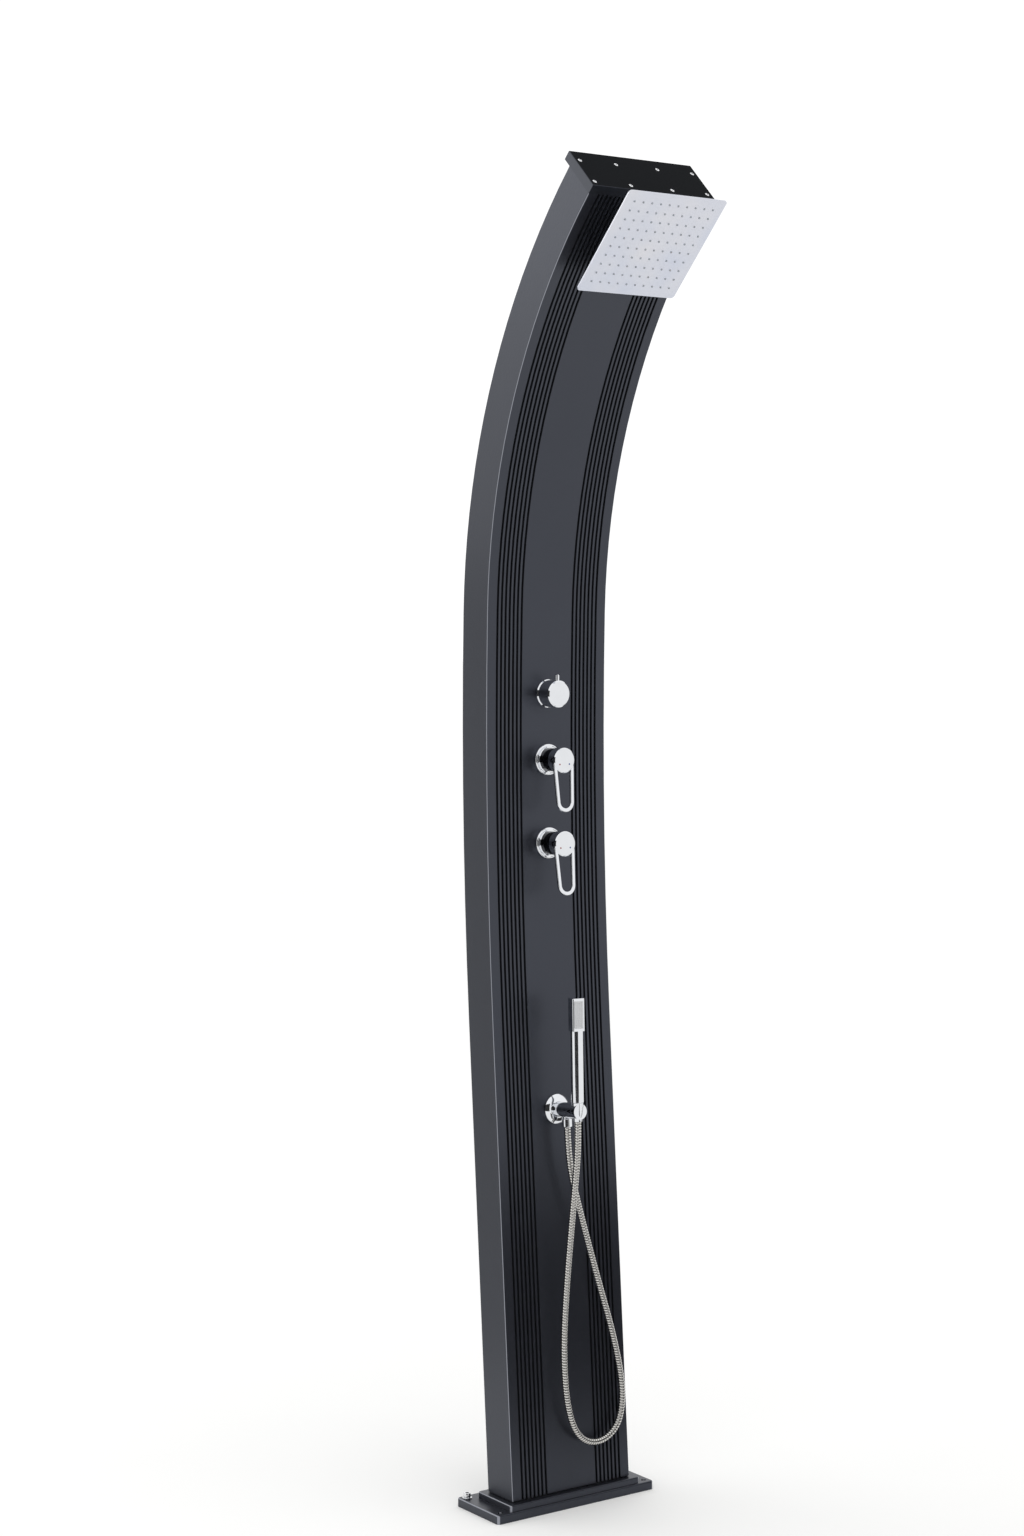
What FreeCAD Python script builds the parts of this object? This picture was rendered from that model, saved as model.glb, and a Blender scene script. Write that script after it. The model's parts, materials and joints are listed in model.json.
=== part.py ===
"""Outdoor shower: a bowed aluminium column on a bolted foot plate.

A square rain head on a ball joint, a diverter knob, two lever mixers and a
stick hand shower with its ribbed hose sit on the grooved front of the column.

Frame: millimetres, +Z up, +X to the user's right, the front looks along -Y,
and the origin is the middle of the foot plate's underside.
"""
import FreeCAD, Part
import math
import os
import re
import Sketcher
from FreeCAD import Matrix, Placement, Rotation, Vector

SIZES = {
    # foot plate and its raised step
    "plate_thickness": 15, "plate_side_margin": 41.5, "plate_front_margin": 16.6,
    "plate_back_margin": 35, "plate_corner": 6, "plate_edge": 2.5,
    "anchor_inset": 13, "anchor_hole_radius": 4.5,
    "tier_height": 11, "tier_margin": 13, "tier_corner": 5, "tier_edge": 2,
    "gasket_thickness": 1.5, "gasket_inset": 2, "foot_screw_sink": 1.6,
    # bowed column: straight foot, long gentle bow, tighter neck
    "column_width": 250, "column_depth": 72.4, "column_wall": 3, "front_wall": 7.5, "column_edge": 1.5,
    "lean_angle": 4.1, "foot_length": 816, "bow_radius": 6960, "bow_angle": 5.7,
    "neck_radius": 987, "neck_angle": 42.8,
    "groove_width": 4.4, "groove_depth": 4.5, "groove_pitch": 8.35, "groove_edge": 21,
    "groove_count": 7, "rib_width": 9, "rib_depth": 6.5,
    # top cap and the screws that share the column's screw ribs
    "cap_thickness": 17, "cap_overhang": 17, "cap_edge": 1,
    "screw_edge": 9.5, "screw_inner_x": 42.5, "screw_front_inset": 11, "screw_back_inset": 6.3,
    "screw_radius": 2, "screw_head_radius": 4, "screw_head_height": 2.6, "screw_rim": 0.3,
    "screw_grip": 14, "screw_sink": 0.6, "socket_radius": 1.5, "socket_depth": 1.8,
    # clearances, the small chamfer of turned pieces, and how far a drill runs past a face
    "running_gap": 0.08, "free_gap": 0.35, "seat_gap": 0.15, "soft_edge": 1, "drill_past": 1,
    # rain head and its ball joint
    "head_drop": 50, "head_width": 200, "head_corner": 6, "head_rest_tilt": 3.2,
    "ball_standoff": 27, "ball_radius": 11, "ball_bore": 4.5, "stub_neck_radius": 7,
    "stub_flange_radius": 15, "stub_flange_height": 5, "shank_radius": 10.4, "shank_length": 18,
    "seat_wall": 2, "seat_top_angle": 55, "seat_low_angle": 115,
    "nut_radius": 19, "nut_back": 7.5, "nut_front": 12, "nut_lip": 6.5, "nut_edge": 2,
    "shell_boss_height": 6, "shell_height": 7, "shell_wall": 1.2, "shell_edge": 0.5, "shell_rim": 8,
    "shell_crown": 90, "face_thickness": 1.5,
    "nozzle_margin": 20, "nozzle_count": 10, "nozzle_radius": 1.7, "nozzle_reach": 1.2,
    "nozzle_root": 0.5, "mat_thickness": 0.8, "mat_border": 17.5,
    # diverter
    "diverter_rise": 113.5, "diverter_ring_radius": 24.3, "diverter_ring_height": 8,
    "diverter_ring_edge": 2, "diverter_knob_radius": 23, "diverter_knob_face": 38, "knob_edge": 2,
    "knob_wall": 5, "knob_hub": 10,
    "peg_radius": 3.7, "peg_top": 33, "peg_axis_height": 31, "spindle_radius": 5,
    "spindle_bearing": 11, "diverter_body_radius": 20, "diverter_body_depth": 42,
    "diverter_neck_radius": 15.5,
    # lever mixers, upper and lower alike
    "mixer_rise": 458.3, "mixer_spacing": 143.5,
    "flange_radius": 27.2, "flange_height": 8, "flange_round": 3,
    "flange_step_radius": 23.5, "flange_step_height": 12,
    "sleeve_radius": 20, "sleeve_wall": 2, "sleeve_end": 30, "pivot_height": 22,
    "lever_cap_radius": 21.5, "lever_cap_back": 34, "lever_cap_face": 53, "lever_cap_edge": 1.5,
    "loop_bar_width": 6.4, "loop_bar_depth": 5, "loop_bar_edge": 1.2, "loop_height": 48, "loop_lean": 4.7,
    "loop_top_half": 17.9, "loop_top": 2, "loop_low_half": 14.2, "loop_low": 71.5,
    "tongue_width": 8, "tongue_depth": 9, "tongue_tail": 5.5, "tongue_swing": 9, "tongue_floor": 1.6,
    "pin_radius": 2, "pin_half_length": 13, "carrier_base": 8.5,
    "cartridge_radius": 16.5, "cartridge_depth": 16, "valve_radius": 22, "valve_depth": 48,
    "valve_neck_radius": 18, "valve_neck_height": 2,
    "bar_half_width": 73, "bar_half_height": 12, "bar_front": 16, "bar_back": 40,
    # pipes behind the front wall
    "pipe_radius": 8, "pipe_wall": 1.5, "pipe_inset": 28, "pipe_x": 60, "socket_depth_pipe": 9,
    "elbow_block": 34, "elbow_block_back": 44,
    "inlet_run": 95, "inlet_block": 26, "inlet_radius": 10.4, "inlet_reach": 22,
    "inlet_flange_radius": 15, "inlet_flange_height": 4, "inlet_bore": 7,
    # hand shower outlet and holder
    "outlet_run": 653.7, "outlet_flange_radius": 25.5, "outlet_flange_height": 9,
    "outlet_flange_rim": 3.5, "barrel_radius": 13, "barrel_length": 44, "barrel_bore": 6,
    "drop_height": 30, "drop_radius": 7.4, "drop_length": 27, "drop_bore": 5, "hose_nut_radius": 9,
    "hose_nut_length": 13, "hose_nut_lip": 2, "holder_radius": 13.5, "holder_end": 70,
    "seat_height": 62, "seat_past": 3,
    # handset
    "handset_lean": 1.4, "handset_turn": 14, "cone_low_radius": 7.6, "cone_top_radius": 10,
    "cone_below": 17, "cone_above": 15, "handle_radius": 10.8, "handle_top": 140, "handle_edge": 0.8,
    "box_width": 22, "box_low": 138, "box_top": 194, "box_edge": 2.5,
    "spray_width": 16, "spray_height": 46, "spray_thickness": 2, "spray_rise": 1,
    "spray_columns": 3, "spray_rows": 9, "spray_hole_radius": 0.8,
    # ribbed hose
    "hose_radius": 6, "hose_valley_radius": 5.1, "hose_bore_radius": 4, "hose_ribs": 190,
    "rib_flank": 0.2, "rib_crest": 0.4,
}

doc = FreeCAD.newDocument("outdoor_shower")
sheet = doc.addObject("Spreadsheet::Sheet", "sizes")
for row, (size_name, size_value) in enumerate(SIZES.items(), 1):
    sheet.set(f"A{row}", size_name)
    sheet.set(f"B{row}", str(size_value))
    sheet.setAlias(f"B{row}", size_name)
doc.recompute()

NODES = {}
TOUCH = 0.01
AXIS_X = Vector(1, 0, 0)
AXIS_Y = Vector(0, 1, 0)
AXIS_Z = Vector(0, 0, 1)
HOME = Placement()


# Reading the sheet

def bind(text):
    """An expression in which each size's name points at its cell."""
    return re.sub(r"[a-z]\w*", lambda m: "sizes." + m[0] if m[0] in SIZES else m[0], text)


def val(text):
    """The number that an expression of sizes comes to."""
    return float(sheet.evalExpression(bind(text)))


# Modelling helpers

def new_body(label):
    body = doc.addObject("PartDesign::Body", label)
    body.Label = label
    return body


def outline(body, name, role, corners, lift="0"):
    """A closed sketch on one of the body's own planes, its corners tied to the sheet.

    A corner is (x, y), or (x, y, radius, (cx, cy)) where an arc about that centre
    runs from it to the next corner.
    """
    sketch = body.newObject("Sketcher::SketchObject", name)
    plane = next(f for f in body.Origin.OriginFeatures if f.Role == role)
    sketch.AttachmentSupport = [(plane, "")]
    sketch.MapMode = "FlatFace"
    sketch.setExpression("AttachmentOffset.Base.z", bind(lift))
    points = [Vector(val(corner[0]), val(corner[1]), 0) for corner in corners]
    count = len(corners)
    for i, corner in enumerate(corners):
        start, end = points[i], points[(i + 1) % count]
        if len(corner) == 2:
            sketch.addGeometry(Part.LineSegment(start, end))
        else:
            centre = Vector(val(corner[3][0]), val(corner[3][1]), 0)
            middle = (start + end) / 2 - centre
            middle.normalize()
            if (start - centre).cross(end - centre).z < 0:
                start, end = end, start
            sketch.addGeometry(Part.Arc(start, centre + middle * val(corner[2]), end))
    ends = [edge_ends(sketch.Geometry[i], points[i]) for i in range(count)]
    for i in range(count):
        sketch.addConstraint(
            Sketcher.Constraint("Coincident", i, ends[i][1], (i + 1) % count, ends[(i + 1) % count][0]))
    for i, corner in enumerate(corners):
        pins = [("DistanceX", corner[0], points[i].x), ("DistanceY", corner[1], points[i].y)]
        for kind, text, number in pins:
            index = sketch.addConstraint(Sketcher.Constraint(kind, -1, 1, i, ends[i][0], number))
            sketch.setExpression(f"Constraints[{index}]", bind(text))
        if len(corner) > 2:
            index = sketch.addConstraint(Sketcher.Constraint("Radius", i, val(corner[2])))
            sketch.setExpression(f"Constraints[{index}]", bind(corner[2]))
    doc.recompute()
    return sketch


def edge_ends(curve, start):
    """Which end of a sketch curve lies on its first corner: (first, last) vertex numbers."""
    return (1, 2) if curve.StartPoint.distanceToPoint(start) < 1e-6 else (2, 1)


def pad(body, sketch, length, both_sides=False):
    feature = body.newObject("PartDesign::Pad", sketch.Name + "_pad")
    feature.Profile = sketch
    feature.SideType = "Symmetric" if both_sides else "One side"
    feature.setExpression("Length", bind(length))
    doc.recompute()
    return feature


def pocket(body, sketch, length, both_sides=False):
    """A pocket, which has to take material away."""
    before = body.Shape.Volume
    feature = body.newObject("PartDesign::Pocket", sketch.Name + "_pocket")
    feature.Profile = sketch
    feature.SideType = "Symmetric" if both_sides else "One side"
    feature.setExpression("Length", bind(length))
    doc.recompute()
    if body.Shape.Volume >= before:
        raise RuntimeError(f"{sketch.Name} cuts nothing")
    return feature


def loft(body, kind, first, last):
    """Adds or takes away what lies between two outlines."""
    feature = body.newObject(f"PartDesign::{kind}", first.Name + "_loft")
    feature.Profile = first
    feature.Sections = [last]
    feature.Ruled = True
    doc.recompute()
    return feature


def turned(label, profile, place=HOME):
    """A piece turned about its own Z axis from (radius, height) corners."""
    body = new_body(label)
    sketch = outline(body, label + "_profile", "XZ_Plane", profile)
    feature = body.newObject("PartDesign::Revolution", label + "_turn")
    feature.Profile = sketch
    feature.ReferenceAxis = (sketch, ["V_Axis"])
    feature.Angle = 360
    doc.recompute()
    body.Placement = place
    return body


def block(label, x_low, x_high, y_low, y_high, z_low, z_high, place=HOME):
    """A box piece between two corners of a local frame."""
    box = doc.addObject("Part::Box", label)
    for name, low, high in (("Length", x_low, x_high), ("Width", y_low, y_high), ("Height", z_low, z_high)):
        box.setExpression(name, bind(f"({high}) - ({low})"))
    corner = Vector(val(x_low), val(y_low), val(z_low))
    box.Placement = place.multiply(Placement(corner, Rotation()))
    doc.recompute()
    return box


def rod(label, radius, low, high, place=HOME):
    """A round bar along a local Z axis, from one height to another."""
    bar = doc.addObject("Part::Cylinder", label)
    bar.setExpression("Radius", bind(radius))
    bar.setExpression("Height", bind(f"({high}) - ({low})"))
    bar.Placement = place.multiply(Placement(Vector(0, 0, val(low)), Rotation()))
    doc.recompute()
    return bar


def joined(label, pieces):
    fusion = doc.addObject("Part::MultiFuse", label)
    fusion.Label = label
    fusion.Shapes = pieces
    doc.recompute()
    return fusion


def cut(label, base, tools):
    difference = doc.addObject("Part::Cut", label)
    difference.Label = label
    difference.Base = base
    difference.Tool = tools[0] if len(tools) == 1 else joined(label + "_tools", tools)
    doc.recompute()
    if difference.Shape.Volume >= base.Shape.Volume:
        raise RuntimeError(f"{label}: its tools cut nothing")
    return difference


def copies(label, master, places):
    """One node of like pieces: the master's shape set at each place."""
    group = doc.addObject("Part::Feature", label)
    group.Label = label
    shapes = []
    for place in places:
        shape = master.Shape.copy()
        shape.Placement = place.multiply(shape.Placement)
        shapes.append(shape)
    group.Shape = Part.makeCompound(shapes)
    return group


def keep(label, piece):
    """Marks a piece as one of the part's nodes."""
    piece.Label = label
    NODES[label] = piece
    return piece


def rounded_rectangle(half_x, y_low, y_high, radius):
    """Corners of a rectangle, centred in x, whose corners have a radius."""
    bend = f"({radius})"
    right, left = f"({half_x})", f"-({half_x})"
    low, high = f"({y_low})", f"({y_high})"
    right_in, left_in = f"{right} - {bend}", f"{left} + {bend}"
    low_in, high_in = f"{low} + {bend}", f"{high} - {bend}"
    return [
        (left_in, low), (right_in, low, bend, (right_in, low_in)),
        (right, low_in), (right, high_in, bend, (right_in, high_in)),
        (right_in, high), (left_in, high, bend, (left_in, high_in)),
        (left, high_in), (left, low_in, bend, (left_in, low_in)),
    ]


def round_edges(body, name, radius, chosen):
    """A fillet on the edges of the body's tip that the test accepts."""
    tip = body.Tip
    edges = [f"Edge{i}" for i, edge in enumerate(tip.Shape.Edges, 1) if chosen(edge.BoundBox)]
    fillet = body.newObject("PartDesign::Fillet", name)
    fillet.Base = (tip, edges)
    fillet.setExpression("Radius", bind(radius))
    doc.recompute()
    return fillet


# The column's side curve, as expressions for sketches and as numbers for placing pieces

LEAN = "(lean_angle * 1deg)"
BOW_END = "((bow_angle - lean_angle) * 1deg)"
NECK_END = "((bow_angle + neck_angle - lean_angle) * 1deg)"
PLATE_DEPTH = f"(column_depth / cos({LEAN}) + plate_front_margin + plate_back_margin)"
PLATE_HALF_WIDTH = "(column_width / 2 + plate_side_margin)"
FOOT_Y = f"(plate_front_margin - {PLATE_DEPTH} / 2)"
FOOT_Z = "(plate_thickness + tier_height + gasket_thickness)"
STRAIGHT_Y = f"({FOOT_Y} + foot_length * sin({LEAN}))"
STRAIGHT_Z = f"({FOOT_Z} + foot_length * cos({LEAN}))"
BOW_CENTRE = (f"({STRAIGHT_Y} - bow_radius * cos({LEAN}))", f"({STRAIGHT_Z} + bow_radius * sin({LEAN}))")
NECK_CENTRE = (
    f"({BOW_CENTRE[0]} + (bow_radius - neck_radius) * cos({BOW_END}))",
    f"({BOW_CENTRE[1]} + (bow_radius - neck_radius) * sin({BOW_END}))")


def curve_corners(inset):
    """Foot, end of the straight, end of the bow and end of the neck, at a depth behind the face."""
    bow, neck = f"(bow_radius + ({inset}))", f"(neck_radius + ({inset}))"
    return [
        (f"{FOOT_Y} + ({inset}) / cos({LEAN})", FOOT_Z),
        (f"{STRAIGHT_Y} + ({inset}) * cos({LEAN})", f"{STRAIGHT_Z} - ({inset}) * sin({LEAN})"),
        (f"{BOW_CENTRE[0]} + {bow} * cos({BOW_END})", f"{BOW_CENTRE[1]} + {bow} * sin({BOW_END})"),
        (f"{NECK_CENTRE[0]} + {neck} * cos({NECK_END})", f"{NECK_CENTRE[1]} + {neck} * sin({NECK_END})"),
    ]


def strip(near, far):
    """Side outline of a layer of the column between two depths behind its face."""
    foot, straight, bow, neck = curve_corners(near)
    foot_far, straight_far, bow_far, neck_far = curve_corners(far)
    return [
        foot,
        straight + (f"bow_radius + ({near})", BOW_CENTRE),
        bow + (f"neck_radius + ({near})", NECK_CENTRE),
        neck,
        neck_far + (f"neck_radius + ({far})", NECK_CENTRE),
        bow_far + (f"bow_radius + ({far})", BOW_CENTRE),
        straight_far,
        foot_far,
    ]


BOW_RUN = val("foot_length")
NECK_RUN = BOW_RUN + val("bow_radius") * math.radians(val("bow_angle"))
COLUMN_RUN = NECK_RUN + val("neck_radius") * math.radians(val("neck_angle"))


def tilt_at(run):
    """Forward tilt of the face, in degrees, at a distance along it from the foot."""
    tilt = -val("lean_angle")
    if run > BOW_RUN:
        tilt += math.degrees((min(run, NECK_RUN) - BOW_RUN) / val("bow_radius"))
    if run > NECK_RUN:
        tilt += math.degrees((run - NECK_RUN) / val("neck_radius"))
    return tilt


def face_point(run, inset=0.0):
    """A point in the column's middle plane, at a depth behind its face."""
    tilt = math.radians(tilt_at(run))
    if run <= BOW_RUN:
        lean = math.radians(val("lean_angle"))
        y = val(FOOT_Y) + run * math.sin(lean) + inset * math.cos(lean)
        z = val(FOOT_Z) + run * math.cos(lean) - inset * math.sin(lean)
        return Vector(0, y, z)
    centre, radius = (BOW_CENTRE, "bow_radius") if run <= NECK_RUN else (NECK_CENTRE, "neck_radius")
    reach = val(radius) + inset
    return Vector(0, val(centre[0]) + reach * math.cos(tilt), val(centre[1]) + reach * math.sin(tilt))


def on_face(run):
    """Local frame on the face: Z straight out of it, Y up along it."""
    return Placement(face_point(run), Rotation(AXIS_X, 90 + tilt_at(run)))


def on_back(run):
    """Local frame on the back of the column: Z straight out of it, Y up along it."""
    turn = Rotation(AXIS_X, 90 + tilt_at(run)).multiply(Rotation(AXIS_Y, 180))
    return Placement(face_point(run, val("column_depth")), turn)


def shifted(place, x=0.0, y=0.0, z=0.0):
    return place.multiply(Placement(Vector(x, y, z), Rotation()))


def turned_to(place, axis, angle):
    return place.multiply(Placement(Vector(), Rotation(axis, angle)))


UP = Rotation(AXIS_X, -90)
FOOT_FRAME = Placement(Vector(0, val(FOOT_Y), 0), Rotation())
CAP_FRAME = Placement(face_point(COLUMN_RUN), Rotation(AXIS_X, tilt_at(COLUMN_RUN)))
HEAD_RUN = COLUMN_RUN - val("head_drop")
OUTLET_RUN = val("outlet_run")
LOWER_RUN = OUTLET_RUN + val("mixer_rise")
UPPER_RUN = LOWER_RUN + val("mixer_spacing")
DIVERTER_RUN = UPPER_RUN + val("diverter_rise")
OUTLET = on_face(OUTLET_RUN)
MIXERS = {"lower": on_face(LOWER_RUN), "upper": on_face(UPPER_RUN)}
DIVERTER = on_face(DIVERTER_RUN)
STUB = on_face(HEAD_RUN)
BALL = shifted(STUB, z=val("ball_standoff"))
HEAD = turned_to(BALL, AXIS_X, val("head_rest_tilt"))
SEAT = Placement(shifted(OUTLET, z=val("seat_height")).Base, Rotation(AXIS_X, -val("handset_lean")))
HANDSET = turned_to(SEAT, AXIS_Z, -val("handset_turn"))


# Screws: the cap's eight from above and the foot plate's eight from below

SCREW_X = [
    "-column_width / 2 + screw_edge", "-screw_inner_x", "screw_inner_x", "column_width / 2 - screw_edge"]
SCREW_DEPTH = ["screw_front_inset", "column_depth - screw_back_inset"]


def screw_set(label, length, frame, height, turn, spread="1"):
    """A set of countersunk screws in the column's ribs and the tool that drills their holes.

    Height is that of the heads' rims, and spread widens the ribs' depths on a slanted end.
    """
    blank = turned(label + "_blank", [
        ("0", f"-({length})"), ("screw_radius", f"-({length})"), ("screw_radius", "-screw_head_height"),
        ("screw_head_radius", "-screw_rim"), ("screw_head_radius", "0"), ("socket_radius", "0"),
        ("socket_radius", "-socket_depth"), ("0", "-socket_depth")])
    gap, tip, mouth = "seat_gap", f"-({length}) - seat_gap", "foot_screw_sink + drill_past"
    hole = turned(label + "_hole", [
        ("0", tip), (f"screw_radius + {gap}", tip), (f"screw_radius + {gap}", "-screw_head_height"),
        (f"screw_head_radius + {gap}", "-screw_rim"), (f"screw_head_radius + {gap}", mouth), ("0", mouth)])
    places = [
        frame.multiply(Placement(Vector(val(x), val(f"({depth}) * ({spread})"), val(height)), turn))
        for depth in SCREW_DEPTH for x in SCREW_X]
    keep(label, copies(label, blank, places))
    return copies(label + "_holes", hole, places)


CAP_HOLES = screw_set(
    "cap_screws", "cap_thickness - screw_sink + screw_grip", CAP_FRAME,
    "cap_thickness - screw_sink", Rotation())
FOOT_HOLES = screw_set(
    "foot_screws", f"{FOOT_Z} - foot_screw_sink + screw_grip", FOOT_FRAME, "foot_screw_sink",
    Rotation(AXIS_X, 180), f"1 / cos({LEAN})")


# Foot plate, foot gasket

def make_foot():
    body = new_body("foot_plate_blank")
    plate = outline(body, "plate_outline", "XY_Plane", rounded_rectangle(
        PLATE_HALF_WIDTH, f"-{PLATE_DEPTH} / 2", f"{PLATE_DEPTH} / 2", "plate_corner"))
    pad(body, plate, "plate_thickness")
    tier = outline(body, "tier_outline", "XY_Plane", rounded_rectangle(
        "column_width / 2 + tier_margin", f"{FOOT_Y} - tier_margin",
        f"{FOOT_Y} + column_depth / cos({LEAN}) + tier_margin", "tier_corner"), "plate_thickness")
    pad(body, tier, "tier_height")
    plate_top = val("plate_thickness")
    tier_top = val("plate_thickness + tier_height")
    half = val(PLATE_HALF_WIDTH)
    depth = val(PLATE_DEPTH) / 2
    tier_half = val("column_width / 2 + tier_margin")

    def lies_at(box, height):
        return abs(box.ZMin - height) < TOUCH and abs(box.ZMax - height) < TOUCH

    def on_plate_rim(box):
        past_side = max(-box.XMin, box.XMax) > tier_half + TOUCH
        past_front = max(-box.YMin, box.YMax) > depth - TOUCH
        return (past_side or past_front) and lies_at(box, plate_top)

    def on_tier_rim(box):
        return lies_at(box, tier_top)

    round_edges(body, "plate_rounding", "plate_edge", on_plate_rim)
    round_edges(body, "tier_rounding", "tier_edge", on_tier_rim)
    reach_x, reach_y = half - val("anchor_inset"), depth - val("anchor_inset")
    drills = []
    for x in (-reach_x, reach_x):
        for y in (-reach_y, reach_y):
            spot = Placement(Vector(x, y, 0), Rotation())
            drills.append(rod(f"anchor_drill_{len(drills)}", "anchor_hole_radius", "-drill_past",
                              "plate_thickness + drill_past", spot))
    keep("foot_plate", cut("foot_plate", body, drills + [FOOT_HOLES]))

    seal = block(
        "gasket_blank", "-column_width / 2 + gasket_inset", "column_width / 2 - gasket_inset",
        f"{FOOT_Y} + gasket_inset", f"{FOOT_Y} + column_depth / cos({LEAN}) - gasket_inset",
        "plate_thickness + tier_height", FOOT_Z)
    keep("foot_gasket", cut("foot_gasket", seal, [FOOT_HOLES]))


# Column and cap

FRONT_HOLES = []
BACK_HOLES = []


def make_column():
    body = new_body("column_blank")
    shell = outline(body, "column_side", "YZ_Plane", strip("0", "column_depth"))
    pad(body, shell, "column_width", both_sides=True)
    half, depth = val("column_width / 2"), val("column_depth")

    def along_column(box):
        on_side = abs(abs(box.XMin) - half) < TOUCH and abs(abs(box.XMax) - half) < TOUCH
        return on_side and box.ZLength > depth

    round_edges(body, "column_rounding", "column_edge", along_column)
    hollow = outline(body, "column_hollow", "YZ_Plane", strip("front_wall", "column_depth - column_wall"))
    pocket(body, hollow, "column_width - 2 * column_wall", both_sides=True)
    layers = {"front": ("front_wall", "front_wall + rib_depth"),
              "back": ("column_depth - column_wall - rib_depth", "column_depth - column_wall")}
    for side, (near, far) in layers.items():
        for i, x in enumerate(SCREW_X):
            rib = outline(body, f"screw_rib_{side}_{i}", "YZ_Plane", strip(near, far), x)
            pad(body, rib, "rib_width", both_sides=True)
    groove = outline(body, "groove_side", "YZ_Plane", strip("-drill_past", "groove_depth"),
                     "-column_width / 2 + groove_edge")
    first = pocket(body, groove, "groove_width", both_sides=True)
    grooves = body.newObject("PartDesign::MultiTransform", "grooves")
    grooves.Originals = [first]
    row = body.newObject("PartDesign::LinearPattern", "groove_row")
    row.Direction = (groove, ["N_Axis"])
    row.setExpression("Length", bind("groove_pitch * (groove_count - 1)"))
    row.setExpression("Occurrences", bind("groove_count"))
    pair = body.newObject("PartDesign::Mirrored", "groove_pair")
    pair.MirrorPlane = (next(f for f in body.Origin.OriginFeatures if f.Role == "YZ_Plane"), [""])
    grooves.Transformations = [row, pair]
    body.Tip = grooves
    doc.recompute()
    keep("column", cut("column", body, FRONT_HOLES + BACK_HOLES + [CAP_HOLES, FOOT_HOLES]))


def make_cap():
    body = new_body("top_cap_blank")
    back = "column_depth + cap_overhang"
    half = "column_width / 2"
    face = outline(body, "cap_outline", "XY_Plane", [
        (f"-{half}", "0"), (half, "0"), (half, back), (f"-{half}", back)])
    pad(body, face, "cap_thickness")
    top = val("cap_thickness")
    round_edges(body, "cap_rounding", "cap_edge", lambda box: abs(box.ZMin - top) < TOUCH)
    body.Placement = CAP_FRAME
    doc.recompute()
    keep("top_cap", cut("top_cap", body, [CAP_HOLES]))


# Pipes and fittings inside the column

def pipe_wire(run_low, run_high, inset):
    """The column's curve at a depth behind its face, from one run to another."""
    stops = [run_low] + [run for run in (BOW_RUN, NECK_RUN) if run_low < run < run_high] + [run_high]
    edges = []
    for low, high in zip(stops, stops[1:]):
        start, end = face_point(low, inset), face_point(high, inset)
        if high <= BOW_RUN:
            edges.append(Part.LineSegment(start, end).toShape())
        else:
            edges.append(Part.Arc(start, face_point((low + high) / 2, inset), end).toShape())
    return Part.Wire(edges)


def make_pipe(label, x, run_low, run_high):
    """A copper pipe that follows the column behind its front wall."""
    wire = pipe_wire(run_low, run_high, val("pipe_inset"))
    wire.translate(Vector(x, 0, 0))
    start = wire.OrderedVertexes[0].Point
    along = wire.OrderedEdges[0].tangentAt(wire.OrderedEdges[0].FirstParameter)
    tubes = []
    for radius in (val("pipe_radius"), val("pipe_radius - pipe_wall")):
        circle = Part.Wire([Part.makeCircle(radius, start, along)])
        tubes.append(wire.makePipeShell([circle], True, False))
    pipe = doc.addObject("Part::Feature", label)
    pipe.Shape = tubes[0].cut(tubes[1])
    keep(label, pipe)


def socket(label, frame, x, y, side):
    """Drill for a pipe's end, from a face of a fitting at height y inwards."""
    turn = Rotation(AXIS_X, -90 if side > 0 else 90)
    place = frame.multiply(Placement(Vector(x, y, -val("pipe_inset")), turn))
    return rod(label, "pipe_radius + seat_gap", "-socket_depth_pipe", "socket_depth_pipe", place)


def make_inner_elbow(label, frame, side):
    """A brass elbow behind the front wall, with a socket for a pipe that comes from one side."""
    half = "elbow_block / 2"
    body = block(label + "_block", f"-{half}", half, f"-{half}", half,
                 "-elbow_block_back", "-front_wall", frame)
    waterway = "pipe_radius - pipe_wall"
    thread = rod(label + "_thread", "shank_radius + seat_gap", "-shank_length - seat_gap", "0", frame)
    port = rod(label + "_port", waterway, "-pipe_inset", "-shank_length", frame)
    bend = frame.multiply(Placement(Vector(0, 0, -val("pipe_inset")), Rotation(AXIS_X, -90 * side)))
    way = rod(label + "_way", waterway, "0", "elbow_block", bend)
    pipe_end = socket(label + "_socket", frame, 0, side * val(half), side)
    keep(label, cut(label, body, [thread, port, way, pipe_end]))


def make_inlet(label, x):
    """A threaded supply nipple through the back of the column, with its block inside."""
    frame = shifted(on_back(val("inlet_run")), x=-x)
    depth = "(column_depth - pipe_inset)"
    half = "inlet_block / 2"
    nipple = turned(label + "_nipple", [
        ("0", f"-{depth}"), ("inlet_radius", f"-{depth}"), ("inlet_radius", "0"),
        ("inlet_flange_radius", "0"), ("inlet_flange_radius", "inlet_flange_height"),
        ("inlet_radius", "inlet_flange_height"),
        ("inlet_radius", "inlet_reach - soft_edge"), ("inlet_radius - soft_edge", "inlet_reach"),
        ("0", "inlet_reach")], frame)
    body = block(label + "_block", f"-{half}", half, f"-{half}", half,
                 f"-{depth} - {half}", f"-{depth} + {half}", frame)
    bore = rod(label + "_bore", "inlet_bore", f"-{depth}", "inlet_reach + drill_past", frame)
    bend = frame.multiply(Placement(Vector(0, 0, -val(depth)), UP))
    way = rod(label + "_way", "pipe_radius - pipe_wall", "0", "inlet_block", bend)
    top = socket(label + "_socket", shifted(on_face(val("inlet_run")), x=x), 0, val(half), 1)
    keep(label, cut(label, joined(label + "_solid", [nipple, body]), [bore, way, top]))
    BACK_HOLES.append(
        rod(label + "_hole", "inlet_radius + seat_gap", "-column_wall - rib_depth", "drill_past", frame))


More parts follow.
